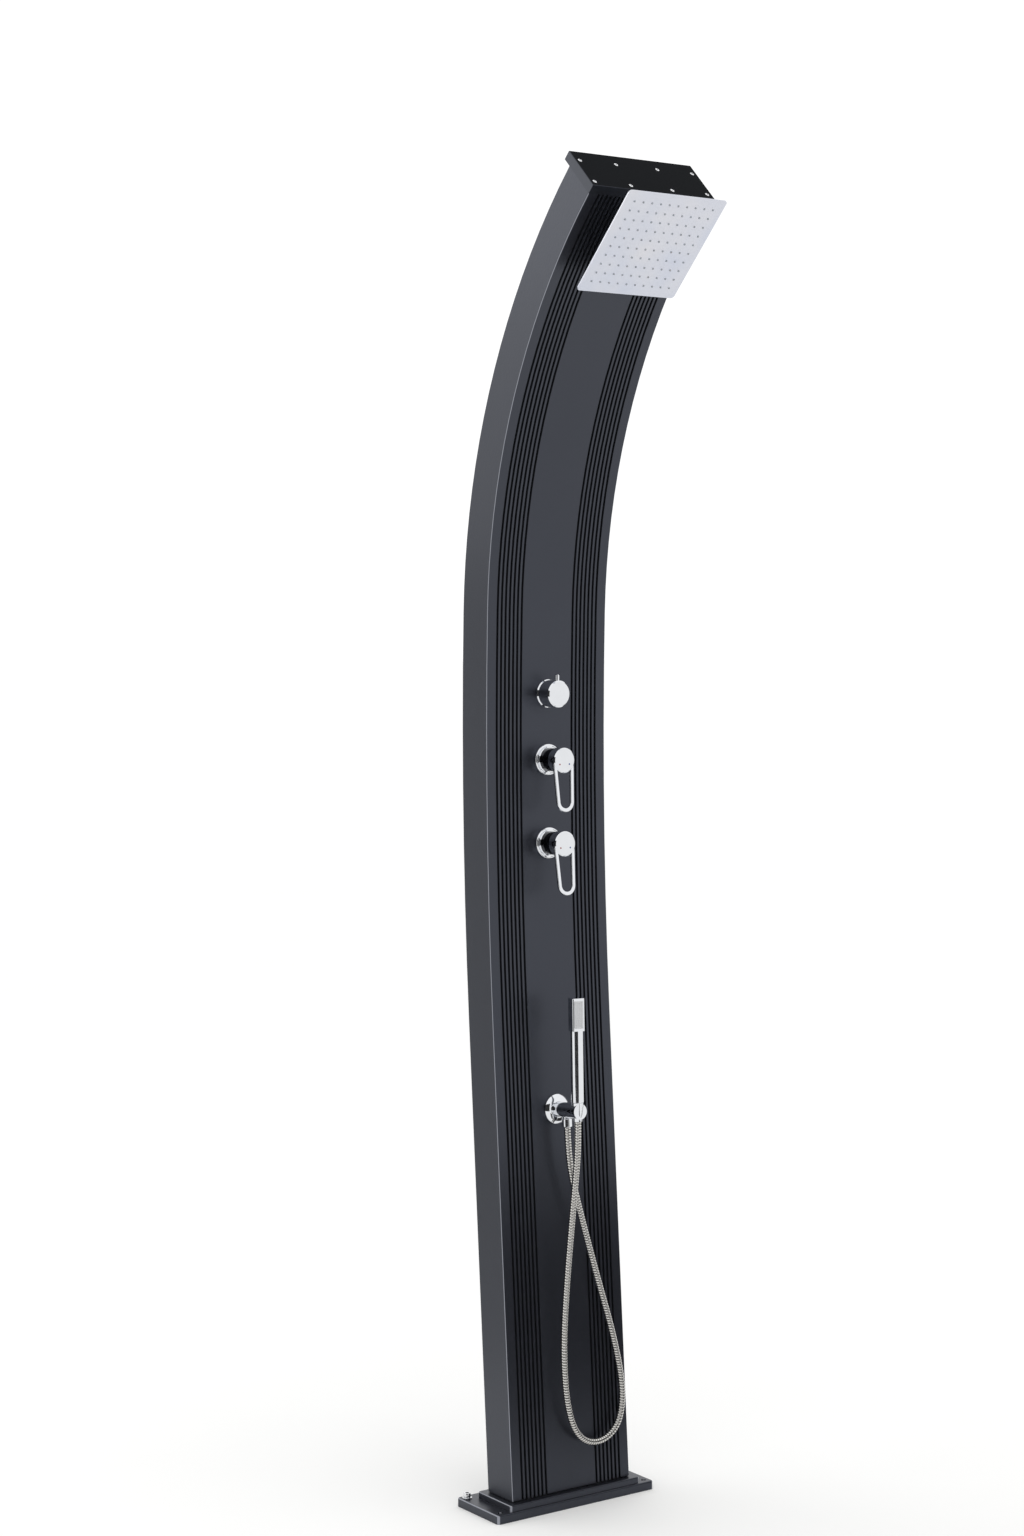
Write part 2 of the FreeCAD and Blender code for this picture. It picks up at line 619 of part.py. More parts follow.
def make_valve(label, frame, outlet_side):
    """A brass mixing valve behind the front wall: hot and cold sockets at its arms, outlet in the middle."""
    core = rod(label + "_core", "valve_radius", "-valve_depth", "-front_wall", frame)
    neck = rod(label + "_neck", "valve_neck_radius", "-front_wall", "valve_neck_height", frame)
    arms = block(label + "_arms", "-bar_half_width", "bar_half_width", "-bar_half_height", "bar_half_height",
                 "-bar_back", "-bar_front", frame)
    drills = [rod(label + "_well", "cartridge_radius + seat_gap", "-cartridge_depth",
                  "valve_neck_height + drill_past", frame)]
    for name, x in (("hot", -val("pipe_x")), ("cold", val("pipe_x"))):
        for side in (1, -1):
            drills.append(socket(f"{label}_{name}_{side + 1}", frame, x, side * val("bar_half_height"), side))
    drills.append(socket(label + "_outlet", frame, 0, outlet_side * val("valve_radius"), outlet_side))
    keep(label, cut(label, joined(label + "_solid", [core, neck, arms]), drills))


def make_wall_hole(name, radius, frame):
    """A hole through the column's front wall, clear of what passes it."""
    FRONT_HOLES.append(rod(
        f"{name}_wall_hole", f"{radius} + free_gap", "-front_wall - drill_past", "drill_past", frame))


# Lever mixer

def make_mixer(name, frame, outlet_side):
    make_wall_hole(name, "valve_neck_radius", frame)
    make_valve(f"{name}_valve_body", frame, outlet_side)
    keep(f"{name}_cartridge", turned(f"{name}_cartridge", [
        ("0", "-cartridge_depth"), ("cartridge_radius", "-cartridge_depth"),
        ("cartridge_radius", "carrier_base - free_gap"), ("0", "carrier_base - free_gap")], frame))
    bore = "sleeve_radius + seat_gap"
    keep(f"{name}_flange", turned(f"{name}_flange", [
        (bore, "free_gap"), ("flange_radius", "free_gap"),
        ("flange_radius", "flange_height - flange_round", "flange_round",
         ("flange_radius - flange_round", "flange_height - flange_round")),
        ("flange_radius - flange_round", "flange_height"), ("flange_step_radius", "flange_height"),
        ("flange_step_radius", "flange_step_height - soft_edge"),
        ("flange_step_radius - soft_edge", "flange_step_height"), (bore, "flange_step_height")], frame))
    inner = "sleeve_radius - sleeve_wall"
    keep(f"{name}_sleeve", turned(f"{name}_sleeve", [
        (inner, "valve_neck_height"), ("sleeve_radius", "valve_neck_height"), ("sleeve_radius", "sleeve_end"),
        (inner, "sleeve_end")], frame))

    pivot = shifted(frame, z=val("pivot_height"))
    across = pivot.multiply(Placement(Vector(), Rotation(AXIS_Y, 90)))
    dome = "(sleeve_radius - sleeve_wall - free_gap)"
    base = "(carrier_base - pivot_height)"
    bullet = turned(f"{name}_bullet", [
        ("0", base), (dome, base), (dome, "0", dome, ("0", "0")), ("0", dome)], pivot)
    slot = block(f"{name}_slot", "-tongue_width / 2 - free_gap", "tongue_width / 2 + free_gap",
                 "-tongue_depth / 2 - tongue_tail", "tongue_depth / 2 + tongue_swing",
                 "-tongue_tail - tongue_floor", f"{dome} + drill_past", pivot)
    pin_bore = rod(f"{name}_pin_bore", "pin_radius", "-sleeve_radius", "sleeve_radius", across)
    keep(f"{name}_carrier", cut(f"{name}_carrier", bullet, [slot, pin_bore]))
    keep(f"{name}_pivot_pin", rod(
        f"{name}_pivot_pin", "pin_radius", "-pin_half_length", "pin_half_length", across))

    hollow = "(sqrt(sleeve_radius^2 + (sleeve_end - pivot_height)^2) + free_gap)"
    back, face = "(lever_cap_back - pivot_height)", "(lever_cap_face - pivot_height)"
    cap = turned(f"{name}_lever_cap", [
        ("0", face), ("0", hollow, hollow, ("0", "0")), (f"sqrt({hollow}^2 - {back}^2)", back),
        ("lever_cap_radius", back), ("lever_cap_radius", f"{face} - lever_cap_edge"),
        ("lever_cap_radius - lever_cap_edge", face)], pivot)
    tongue = block(f"{name}_tongue", "-tongue_width / 2", "tongue_width / 2", "-tongue_depth / 2",
                   "tongue_depth / 2", "-tongue_tail", f"{hollow} + soft_edge", pivot)
    loop = make_loop(f"{name}_loop", frame)
    pin_hole = rod(f"{name}_pin_hole", "pin_radius + running_gap", "-tongue_width", "tongue_width", across)
    solid = joined(f"{name}_lever_solid", [cap, tongue, loop])
    keep(f"{name}_lever", cut(f"{name}_lever", solid, [pin_hole]))


def make_loop(label, frame):
    """The lever's bent bar: two legs that draw together and a round bottom, in one plane that leans out.

    The body's own origin is the top of the left leg.
    """
    body = new_body(label)
    reach = val("loop_low - loop_top")
    wide, slim = val("loop_top_half"), val("loop_low_half")
    slope = math.atan2(wide - slim, reach)
    drop = slim * (1 - math.sin(slope)) / math.cos(slope)
    path = body.newObject("Sketcher::SketchObject", label + "_path")
    path.AttachmentSupport = [(next(f for f in body.Origin.OriginFeatures if f.Role == "XY_Plane"), "")]
    path.MapMode = "FlatFace"
    left, right = Vector(wide - slim, -reach, 0), Vector(wide + slim, -reach, 0)
    path.addGeometry(Part.LineSegment(Vector(), left))
    path.addGeometry(Part.Arc(left, Vector(wide, -reach - drop, 0), right))
    path.addGeometry(Part.LineSegment(right, Vector(2 * wide, 0, 0)))
    section = outline(body, label + "_section", "XZ_Plane", rounded_rectangle(
        "loop_bar_width / 2", "-loop_bar_depth / 2", "loop_bar_depth / 2", "loop_bar_edge"))
    pipe = body.newObject("PartDesign::AdditivePipe", label + "_bar")
    pipe.Profile = section
    pipe.Spine = (path, [])
    doc.recompute()
    leg = shifted(frame, -wide, -val("loop_top"), val("loop_height"))
    body.Placement = turned_to(leg, AXIS_X, -val("loop_lean"))
    return body


# Diverter

def make_diverter():
    frame = DIVERTER
    make_wall_hole("diverter", "diverter_neck_radius", frame)
    core = rod("diverter_core", "diverter_body_radius", "-front_wall - diverter_body_depth",
               "-front_wall", frame)
    neck = rod("diverter_neck", "diverter_neck_radius", "-front_wall", "diverter_ring_height", frame)
    well = rod("diverter_well", "spindle_radius + running_gap", "-spindle_bearing - free_gap",
               "diverter_ring_height + drill_past", frame)
    ends = [
        socket(f"diverter_socket_{side + 1}", frame, 0, side * val("diverter_body_radius"), side)
        for side in (1, -1)]
    keep("diverter_body", cut("diverter_body", joined("diverter_solid", [core, neck]), [well] + ends))
    bore = "diverter_neck_radius + seat_gap"
    keep("diverter_ring", turned("diverter_ring", [
        (bore, "free_gap"), ("diverter_ring_radius", "free_gap"),
        ("diverter_ring_radius", "diverter_ring_height - diverter_ring_edge"),
        ("diverter_ring_radius - diverter_ring_edge", "diverter_ring_height"),
        (bore, "diverter_ring_height")], frame))
    keep("diverter_spindle", rod("diverter_spindle", "spindle_radius", "-spindle_bearing",
                                 "diverter_knob_face - knob_wall", frame))
    back = "diverter_ring_height + free_gap * 2"
    inner = "diverter_knob_radius - knob_wall"
    hub = "diverter_knob_face - knob_wall - knob_hub"
    cap = turned("diverter_knob_cap", [
        ("0", "diverter_knob_face"), ("diverter_knob_radius - knob_edge", "diverter_knob_face"),
        ("diverter_knob_radius", "diverter_knob_face - knob_edge"), ("diverter_knob_radius", back),
        (inner, back), (inner, hub), ("spindle_radius", hub),
        ("spindle_radius", "diverter_knob_face - knob_wall"), ("0", "diverter_knob_face - knob_wall")], frame)
    stand = frame.multiply(Placement(Vector(0, 0, val("peg_axis_height")), UP))
    peg = turned("diverter_peg", [
        ("0", inner), ("peg_radius", inner), ("peg_radius", "peg_top - soft_edge"),
        ("peg_radius - soft_edge", "peg_top"), ("0", "peg_top")], stand)
    keep("diverter_knob", joined("diverter_knob", [cap, peg]))


# Rain head

def make_head():
    make_wall_hole("stub", "shank_radius", STUB)
    base = "-ball_standoff + free_gap"
    top = "-ball_standoff + stub_flange_height"
    neck_top = "sqrt(ball_radius^2 - stub_neck_radius^2)"
    keep("head_stub", turned("head_stub", [
        ("ball_bore", "-ball_standoff - shank_length"), ("shank_radius", "-ball_standoff - shank_length"),
        ("shank_radius", base), ("stub_flange_radius", base), ("stub_flange_radius", f"{top} - soft_edge"),
        ("stub_flange_radius - soft_edge", top), ("stub_neck_radius", top),
        ("stub_neck_radius", f"-{neck_top}", "ball_radius", ("0", "0")),
        ("ball_radius", "0", "ball_radius", ("0", "0")),
        ("ball_bore", "sqrt(ball_radius^2 - ball_bore^2)")], BALL))
    make_inner_elbow("head_elbow", STUB, -1)

    inner, outer = "(ball_radius + free_gap)", "(ball_radius + free_gap + seat_wall)"
    ball_centre = ("0", "0")

    def on_sphere(radius, angle):
        return f"{radius} * sin({angle} * 1deg)", f"{radius} * cos({angle} * 1deg)"

    keep("head_seat_ring", turned("head_seat_ring", [
        on_sphere(inner, "seat_low_angle"), on_sphere(outer, "seat_low_angle") + (outer, ball_centre),
        (outer, "0", outer, ball_centre), on_sphere(outer, "seat_top_angle"),
        on_sphere(inner, "seat_top_angle") + (inner, ball_centre), (inner, "0", inner, ball_centre)], HEAD))
    cup = f"({outer} + free_gap)"
    mouth = f"sqrt({cup}^2 - nut_lip^2)"
    keep("head_nut", turned("head_nut", [
        (mouth, "-nut_lip", cup, ball_centre), (cup, "0"), (cup, "nut_front"), ("nut_radius", "nut_front"),
        ("nut_radius", "-nut_back + nut_edge"), ("nut_radius - nut_edge", "-nut_back"),
        (mouth, "-nut_back")], HEAD))

    low, boss_top = "nut_front", "nut_front + shell_boss_height"
    top = f"{boss_top} + shell_height"
    half, crown = "head_width / 2", "shell_crown / 2"
    room, bed = "(head_width / 2 - shell_rim)", "(shell_crown / 2 - shell_wall)"

    def square(body, name, half_width, height):
        corners = rounded_rectangle(half_width, f"-({half_width})", half_width, "head_corner")
        return outline(body, name, "XY_Plane", corners, height)

    shell = new_body("head_shell_blank")
    edge = f"{top} - shell_edge"
    pad(shell, square(shell, "shell_outline", half, edge), "shell_edge")
    loft(shell, "AdditiveLoft", square(shell, "slope_outline", half, edge),
         square(shell, "crown_outline", crown, boss_top))
    loft(shell, "SubtractiveLoft", square(shell, "chamber_outline", room, top),
         square(shell, "bed_outline", bed, f"{boss_top} + shell_wall"))
    shell.Placement = HEAD
    boss = rod("shell_boss", "nut_radius", low, f"{boss_top} + shell_wall", HEAD)
    way = rod("shell_way", "ball_radius", f"{low} - drill_past",
              f"{boss_top} + shell_wall + drill_past", HEAD)
    keep("head_shell", cut("head_shell", joined("shell_solid", [shell, boss]), [way]))

    step = val("(head_width - 2 * nozzle_margin) / (nozzle_count - 1)")
    first = -val("head_width / 2 - nozzle_margin")
    count = int(val("nozzle_count"))
    spots = [Vector(first + i * step, first + j * step, 0) for i in range(count) for j in range(count)]
    seats = [HEAD.multiply(Placement(spot, Rotation())) for spot in spots]
    drill = rod("nozzle_drill", "nozzle_radius + seat_gap", f"{top} - drill_past",
                f"{top} + face_thickness + drill_past")
    sheet_body = new_body("head_face_blank")
    pad(sheet_body, square(sheet_body, "face_outline", half, top), "face_thickness")
    sheet_body.Placement = HEAD
    doc.recompute()
    keep("head_face", cut("head_face", sheet_body, [copies("nozzle_drills", drill, seats)]))
    nub = rod("nozzle_nub", "nozzle_radius", f"{top} - nozzle_root", f"{top} + face_thickness + nozzle_reach")
    field = f"({half} - mat_border)"
    mat = block("nozzle_sheet", f"-{field}", field, f"-{field}", field, f"{top} - mat_thickness", top, HEAD)
    keep("nozzle_mat", joined("nozzle_mat", [mat, copies("nozzle_nubs", nub, seats)]))


# Hand shower outlet, holder and handset

def make_outlet():
    frame = OUTLET
    make_wall_hole("outlet", "shank_radius", frame)
    make_inner_elbow("outlet_elbow", frame, 1)
    rise = "(outlet_flange_height - outlet_flange_rim)"
    span = "(outlet_flange_radius - barrel_radius)"
    dome = f"(({span}^2 + {rise}^2) / (2 * {rise}))"
    bore = "barrel_radius + seat_gap"
    crown = f"outlet_flange_height - {dome} + sqrt({dome}^2 - soft_edge^2)"
    keep("outlet_flange", turned("outlet_flange", [
        (bore, "free_gap"), ("outlet_flange_radius", "free_gap"),
        ("outlet_flange_radius", "outlet_flange_rim", dome,
         ("barrel_radius", f"outlet_flange_height - {dome}")),
        ("barrel_radius + soft_edge", crown), (bore, crown)], frame))
    barrel = turned("outlet_barrel", [
        ("0", "-shank_length"), ("shank_radius", "-shank_length"), ("shank_radius", "free_gap"),
        ("barrel_radius", "free_gap"),
        ("barrel_radius", "barrel_length"), ("0", "barrel_length")], frame)
    down = frame.multiply(Placement(Vector(0, 0, val("drop_height")), Rotation(AXIS_X, 90)))
    drop = rod("outlet_drop", "drop_radius", "0", "drop_length", down)
    inlet = rod("outlet_bore", "barrel_bore", "-shank_length - drill_past", "drop_height", frame)
    way = rod("outlet_way", "drop_bore", "0", "drop_length + drill_past", down)
    keep("outlet_body", cut("outlet_body", joined("outlet_solid", [barrel, drop]), [inlet, way]))
    top, lip = "drop_length - hose_nut_length", "drop_length + hose_nut_lip"
    keep("hose_nut", turned("hose_nut", [
        ("drop_radius + seat_gap", top), ("hose_nut_radius - soft_edge", top),
        ("hose_nut_radius", f"{top} + soft_edge"), ("hose_nut_radius", f"{lip} - soft_edge"),
        ("hose_nut_radius - soft_edge", lip), ("hose_valley_radius", lip),
        ("hose_valley_radius", "drop_length"), ("drop_radius + seat_gap", "drop_length")], down))

    taper = "((cone_top_radius - cone_low_radius) / (cone_above + cone_below))"
    reach = "(holder_radius + seat_past)"
    seat_low = f"cone_low_radius + {taper} * (cone_below - {reach}) + free_gap"
    seat_top = f"cone_low_radius + {taper} * (cone_below + {reach}) + free_gap"
    seat = turned("holder_seat", [
        ("0", f"-{reach}"), (seat_low, f"-{reach}"), (seat_top, reach), ("0", reach)], SEAT)
    grip = rod("holder_barrel", "holder_radius", "barrel_length", "holder_end", frame)
    keep("handset_holder", cut("handset_holder", grip, [seat]))


def make_handset():
    keep("hose_cone", turned("hose_cone", [
        ("hose_bore_radius", "-cone_below"), ("cone_low_radius", "-cone_below"),
        ("cone_top_radius", "cone_above"), ("hose_bore_radius", "cone_above")], SEAT))
    handle = turned("handle_bar", [
        ("0", "cone_above + running_gap"), ("handle_radius - handle_edge", "cone_above + running_gap"),
        ("handle_radius", "cone_above + running_gap + handle_edge"), ("handle_radius", "handle_top"),
        ("0", "handle_top")], HANDSET)
    body = new_body("handset_box")
    half = "box_width / 2"
    square = rounded_rectangle(half, f"-{half}", half, "box_edge")
    pad(body, outline(body, "box_outline", "XY_Plane", square, "box_low"), "box_top - box_low")
    top = val("box_top")
    round_edges(body, "box_rounding", "box_edge / 2", lambda box: abs(box.ZMin - top) < TOUCH)
    body.Placement = HANDSET
    middle = "((box_top + box_low) / 2)"
    spray_low, spray_top = f"{middle} - spray_height / 2", f"{middle} + spray_height / 2"
    front, behind = f"-{half} - spray_rise", f"-{half} - spray_rise + spray_thickness"
    recess = block("spray_recess", "-spray_width / 2 - seat_gap", "spray_width / 2 + seat_gap",
                   f"{front} - drill_past", behind, f"{spray_low} - seat_gap",
                   f"{spray_top} + seat_gap", HANDSET)
    way = rod("handle_way", "hose_bore_radius", "0", f"{middle}", HANDSET)
    keep("handset_body", cut("handset_body", joined("handset_solid", [handle, body]), [recess, way]))

    plate = block("spray_plate", "-spray_width / 2", "spray_width / 2", front, behind,
                  spray_low, spray_top, HANDSET)
    columns, rows = int(val("spray_columns")), int(val("spray_rows"))
    gap_x, gap_z = val("spray_width") / (columns + 1), val("spray_height") / (rows + 1)
    left, low = -val("spray_width / 2"), val(spray_low)
    drill = rod("spray_drill", "spray_hole_radius", "-drill_past", "spray_thickness + drill_past")
    spots = [
        Vector(left + i * gap_x, val(front), low + j * gap_z)
        for i in range(1, columns + 1) for j in range(1, rows + 1)]
    places = [HANDSET.multiply(Placement(spot, UP)) for spot in spots]
    keep("spray_face", cut("spray_face", plate, [copies("spray_drills", drill, places)]))


# Hose: chosen points from the outlet's nut, round a loop above the foot and up to the handset's cone

HOSE_POINTS = [
    (0, -34.0, 608), (7, -35.9, 562), (25, -38.9, 492), (56, -43.5, 384), (85, -47.5, 290),
    (104.5, -51.0, 200), (102.2, -52.8, 149), (87, -54.0, 118), (56.7, -55.0, 102), (22.6, -55.8, 107),
    (-2.2, -56.3, 131), (-17, -56.9, 172), (-25, -57.4, 228), (-27, -58.0, 300), (-21.5, -58.7, 388),
    (-14, -59.6, 472), (-6, -60.8, 552), (0, -62.0, 622),
]
ARC_SHARE = 0.45


def hose_route():
    """The chosen points, with the first and last set on the nut's and the cone's axes."""
    down = OUTLET.multiply(Placement(Vector(0, 0, val("drop_height")), Rotation(AXIS_X, 90)))
    start = down.multVec(Vector(0, 0, val("drop_length + hose_nut_lip")))
    end = SEAT.multVec(Vector(0, 0, -val("cone_below")))
    middle = [Vector(*point) for point in HOSE_POINTS]
    first = start + down.Rotation.multVec(AXIS_Z) * (middle[0] - start).Length
    last = end - SEAT.Rotation.multVec(AXIS_Z) * (middle[-1] - end).Length
    return [start, first] + middle[1:-1] + [last, end]


def hose_path(points):
    """Straight runs joined by tangent arcs, each as large as its two runs allow."""
    edges, radii = [], []
    here = points[0]
    for before, corner, after in zip(points, points[1:], points[2:]):
        to_corner, from_corner = corner - before, after - corner
        shorter = min(to_corner.Length, from_corner.Length)
        turn = to_corner.getAngle(from_corner)
        reach = ARC_SHARE * shorter
        to_corner.normalize()
        from_corner.normalize()
        start, end = corner - to_corner * reach, corner + from_corner * reach
        radius = reach / math.tan(turn / 2)
        radii.append(radius)
        bisector = from_corner - to_corner
        bisector.normalize()
        sagitta = radius * (1 / math.cos(turn / 2) - 1)
        edges.append(Part.LineSegment(here, start).toShape())
        edges.append(Part.Arc(start, corner + bisector * sagitta, end).toShape())
        here = end
    edges.append(Part.LineSegment(here, points[-1]).toShape())
    print("hose radii, mm:", " ".join(f"{radius:.0f}" for radius in radii), "least", f"{min(radii):.1f}")
    return Part.Wire(edges)


def point_along(edges, distance):
    """Place and direction at a distance along a row of edges."""
    for edge in edges[:-1]:
        if distance <= edge.Length:
            break
        distance -= edge.Length
    else:
        edge = edges[-1]
    parameter = edge.getParameterByLength(min(distance, edge.Length))
    return edge.valueAt(parameter), edge.tangentAt(parameter)


def hose_circle(edges, distance, radius):
    """A circle square to the hose, whose X axis keeps to one side of it."""
    point, along = point_along(edges, distance)
    side = Vector(0, -1, 0) - along * along.dot(Vector(0, -1, 0))
    side.normalize()
    other = along.cross(side)
    circle = Part.Circle(Vector(), AXIS_Z, radius).toShape()
    circle.Placement = Placement(Matrix(
        side.x, other.x, along.x, point.x, side.y, other.y, along.y, point.y,
        side.z, other.z, along.z, point.z, 0, 0, 0, 1))
    return Part.Wire([circle])


def make_hose():
    wire = hose_path(hose_route())
    edges = wire.OrderedEdges
    crest, valley, bore = val("hose_radius"), val("hose_valley_radius"), val("hose_bore_radius")
    plain = 2 * crest
    ribs = int(val("hose_ribs"))
    pitch = (wire.Length - 2 * plain) / ribs
    flank, top = val("rib_flank"), val("rib_crest")
    root = (1 - top) / 2 - flank
    rings = [hose_circle(edges, 0, valley)]
    for i in range(ribs):
        start = plain + i * pitch
        shares = [root, root + flank, root + flank + top, 1 - root]
        for share, radius in zip(shares, (valley, crest, crest, valley)):
            rings.append(hose_circle(edges, start + share * pitch, radius))
    rings.append(hose_circle(edges, wire.Length, valley))
    skin = Part.makeLoft(rings, True, True)
    core = wire.makePipeShell([hose_circle(edges, 0, bore)], True, False)
    hose = doc.addObject("Part::Feature", "hose")
    hose.Shape = skin.cut(core)
    keep("hose", hose)
    ideal = math.pi * (valley ** 2 + (crest ** 2 - valley ** 2) * (top + flank) - bore ** 2) * wire.Length
    print(f"hose length {wire.Length:.1f} mm, rib pitch {pitch:.2f} mm, "
          f"volume {hose.Shape.Volume:.0f} of about {ideal:.0f} mm3")
    print("hose points, m:", [tuple(round(c / 1000, 4) for c in point) for point in hose_route()])


# Everything, from the foot upwards

make_foot()
make_inlet("hot_inlet", -val("pipe_x"))
make_inlet("cold_inlet", val("pipe_x"))
make_outlet()
make_handset()
for mixer_name, outlet_side in (("lower", -1), ("upper", 1)):
    make_mixer(mixer_name, MIXERS[mixer_name], outlet_side)
make_diverter()
make_head()

GRIP = val("socket_depth_pipe")
ARM = val("bar_half_height") - GRIP
INLET_TOP = val("inlet_run + inlet_block / 2") - GRIP
for supply, x in (("hot", -val("pipe_x")), ("cold", val("pipe_x"))):
    make_pipe(f"{supply}_riser", x, INLET_TOP, LOWER_RUN - ARM)
    make_pipe(f"{supply}_link", x, LOWER_RUN + ARM, UPPER_RUN - ARM)
CORE = val("valve_radius") - GRIP
SPOOL = val("diverter_body_radius") - GRIP
BLOCK = val("elbow_block / 2") - GRIP
make_pipe("handset_feed", 0, OUTLET_RUN + BLOCK, LOWER_RUN - CORE)
make_pipe("mixed_riser", 0, UPPER_RUN + CORE, DIVERTER_RUN - SPOOL)
make_pipe("head_riser", 0, DIVERTER_RUN + SPOOL, HEAD_RUN - BLOCK)
make_column()
make_cap()
make_hose()
doc.recompute()

for item in doc.Objects:
    if "Invalid" in item.State or "Error" in item.State:
        raise RuntimeError(f"{item.Label} failed: {item.State}")
for label, piece in NODES.items():
    if piece.Shape.isNull() or not piece.Shape.isValid() or not piece.Shape.Solids:
        raise RuntimeError(f"{label} has no valid solid")

os.makedirs("parts", exist_ok=True)
for label, piece in NODES.items():
    piece.Shape.exportStep(f"parts/{label}.step")
print(len(NODES), "nodes")
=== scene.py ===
"""Outdoor shower column with a square rain head, two lever mixers and a hand shower on a ribbed hose.

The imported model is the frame. Solids whose shape is right keep it and get a finish, and the hose, the screws,
the rain nozzles and the spray plate are made here in more detail.
"""
import json
import math

import bmesh
import bpy
import numpy as np
from mathutils import Matrix, Vector


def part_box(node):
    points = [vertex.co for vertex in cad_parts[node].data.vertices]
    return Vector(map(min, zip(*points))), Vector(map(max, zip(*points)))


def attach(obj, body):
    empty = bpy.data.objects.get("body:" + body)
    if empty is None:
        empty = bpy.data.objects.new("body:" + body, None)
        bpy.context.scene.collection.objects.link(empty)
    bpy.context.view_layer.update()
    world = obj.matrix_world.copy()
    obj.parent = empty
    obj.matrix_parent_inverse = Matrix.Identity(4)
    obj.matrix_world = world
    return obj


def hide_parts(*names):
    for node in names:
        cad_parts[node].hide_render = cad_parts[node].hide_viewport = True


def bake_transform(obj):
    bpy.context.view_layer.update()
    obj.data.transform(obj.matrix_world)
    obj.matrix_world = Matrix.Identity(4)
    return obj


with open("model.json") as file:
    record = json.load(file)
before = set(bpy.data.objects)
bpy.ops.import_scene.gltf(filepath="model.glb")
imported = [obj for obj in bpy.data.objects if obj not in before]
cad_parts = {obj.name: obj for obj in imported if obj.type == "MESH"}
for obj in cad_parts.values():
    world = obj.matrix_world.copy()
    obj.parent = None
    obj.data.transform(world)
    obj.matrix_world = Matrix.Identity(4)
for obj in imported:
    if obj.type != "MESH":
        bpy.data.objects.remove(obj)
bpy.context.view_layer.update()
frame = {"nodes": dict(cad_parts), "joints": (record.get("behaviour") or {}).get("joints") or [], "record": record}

bl_info = {
    "name": "Outdoor Shower",
    "version": (1, 0, 0),
    "blender": (4, 5, 0),
    "location": "View3D > Sidebar > Shower",
    "description": "Dresses the outdoor shower column: finishes, hose, nozzles, screws and studio",
    "category": "Object",
}

NODES = frame["nodes"]
JOINTS = {joint["name"]: joint for joint in frame["joints"]}
MOUNTS = {mount["name"]: mount for mount in frame["record"]["mounts"]}
SLOTS = {row["node"]: row["material_slot"] for row in frame["record"]["subparts"]}
RIGHT = Vector((1, 0, 0))
SAME_POINT = 1e-6        # Points nearer than this, in metres, are one.
FILM_HEIGHT = 36         # The camera's frame, in millimetres.

# The hose leaves the nut under the outlet, hangs in a loop and comes up into the cone under the handset.
HOSE_ROUTE = [
    (0, -0.0308, 0.6527), (0, -0.034, 0.608), (0.007, -0.0359, 0.562), (0.025, -0.0389, 0.492),
    (0.056, -0.0435, 0.384), (0.085, -0.0475, 0.29), (0.1045, -0.051, 0.2), (0.1022, -0.0528, 0.149),
    (0.087, -0.054, 0.118), (0.0567, -0.055, 0.102), (0.0226, -0.0558, 0.107), (-0.0022, -0.0563, 0.131),
    (-0.017, -0.0569, 0.172), (-0.025, -0.0574, 0.228), (-0.027, -0.058, 0.3), (-0.0215, -0.0587, 0.388),
    (-0.014, -0.0596, 0.472), (-0.006, -0.0608, 0.552), (0, -0.0621, 0.622), (0, -0.061, 0.667),
]

# Outlines of small round pieces from the bottom up, as shares of the radius and of the height.
RAIN_NOZZLE = ((1, 0.72), (0.74, 1))
SCREW_CROWN = ((0.97, 0), (0.8, 0.5), (0.56, 0.85))
WASHER_RIM = ((0.97, 0), (1, 0.3), (1, 0.75), (0.94, 1))
BOLT_HEAD = ((0.96, 0), (1, 0.1), (1, 0.84), (0.9, 1))
BOLT_TIP = ((0.9, -0.9), (1, -0.8))
LEVER_MARK = ((1, -1), (1, 0.3), (0.8, 0.8), (0.4, 1))
SPRAY_NUB = ((1, -1), (1, 0.5), (0.7, 0.9), (0.3, 0.9), (0.3, 0))

# Sheen of the coated and of the anodised aluminium, which is bluer than the light on it.
COOL_SHEEN = (0.76, 0.82, 1, 1)

# The soft box and the dark cards: place, target, and width and height.
SIDE_BOX = ((-1.7, 2.3, 3.0), (0, 0, 2.0), (1.6, 1.2))
DARK_CARDS = {
    "left_card": ((-2.88, -3.2, 1.3), (0, 0, 1.2), (5.6, 3.4)),
    "low_card": ((0.36, -0.55, 0.25), (0, 0, 0.25), (1.0, 0.5)),
    "back_card": ((-0.65, 0.76, 0.82), (-0.125, 0.03, 0.82), (0.15, 1.64)),
}


def linear(colour):
    """An sRGB hex colour as linear red, green and blue."""
    steps = [int(colour[i:i + 2], 16) / 255 for i in (1, 3, 5)]
    return tuple(s / 12.92 if s <= 0.04045 else ((s + 0.055) / 1.055) ** 2.4 for s in steps)


def length_prop(name, description, default):
    return bpy.props.FloatProperty(
        name=name, description=description, default=default, min=0, unit="LENGTH", precision=5)


def count_prop(name, description, default):
    return bpy.props.IntProperty(name=name, description=description, default=default, min=1)


def colour_prop(name, description, default):
    return bpy.props.FloatVectorProperty(
        name=name, description=description, default=linear(default), subtype="COLOR", min=0, max=1)


class ShowerHose(bpy.types.PropertyGroup):
    """Sizes of the ribbed hose."""
    diameter: length_prop("Diameter", "Across the crests of the ribs", 0.012)
    valley: length_prop("Valley", "Across the folds between the ribs", 0.0098)
    bore: length_prop("Bore", "Inside width", 0.008)
    ribs: count_prop("Ribs", "Ribs from end to end", 248)
    rings: count_prop("Rings", "Rings of points in each rib", 6)
    sides: count_prop("Sides", "Points around each ring", 20)


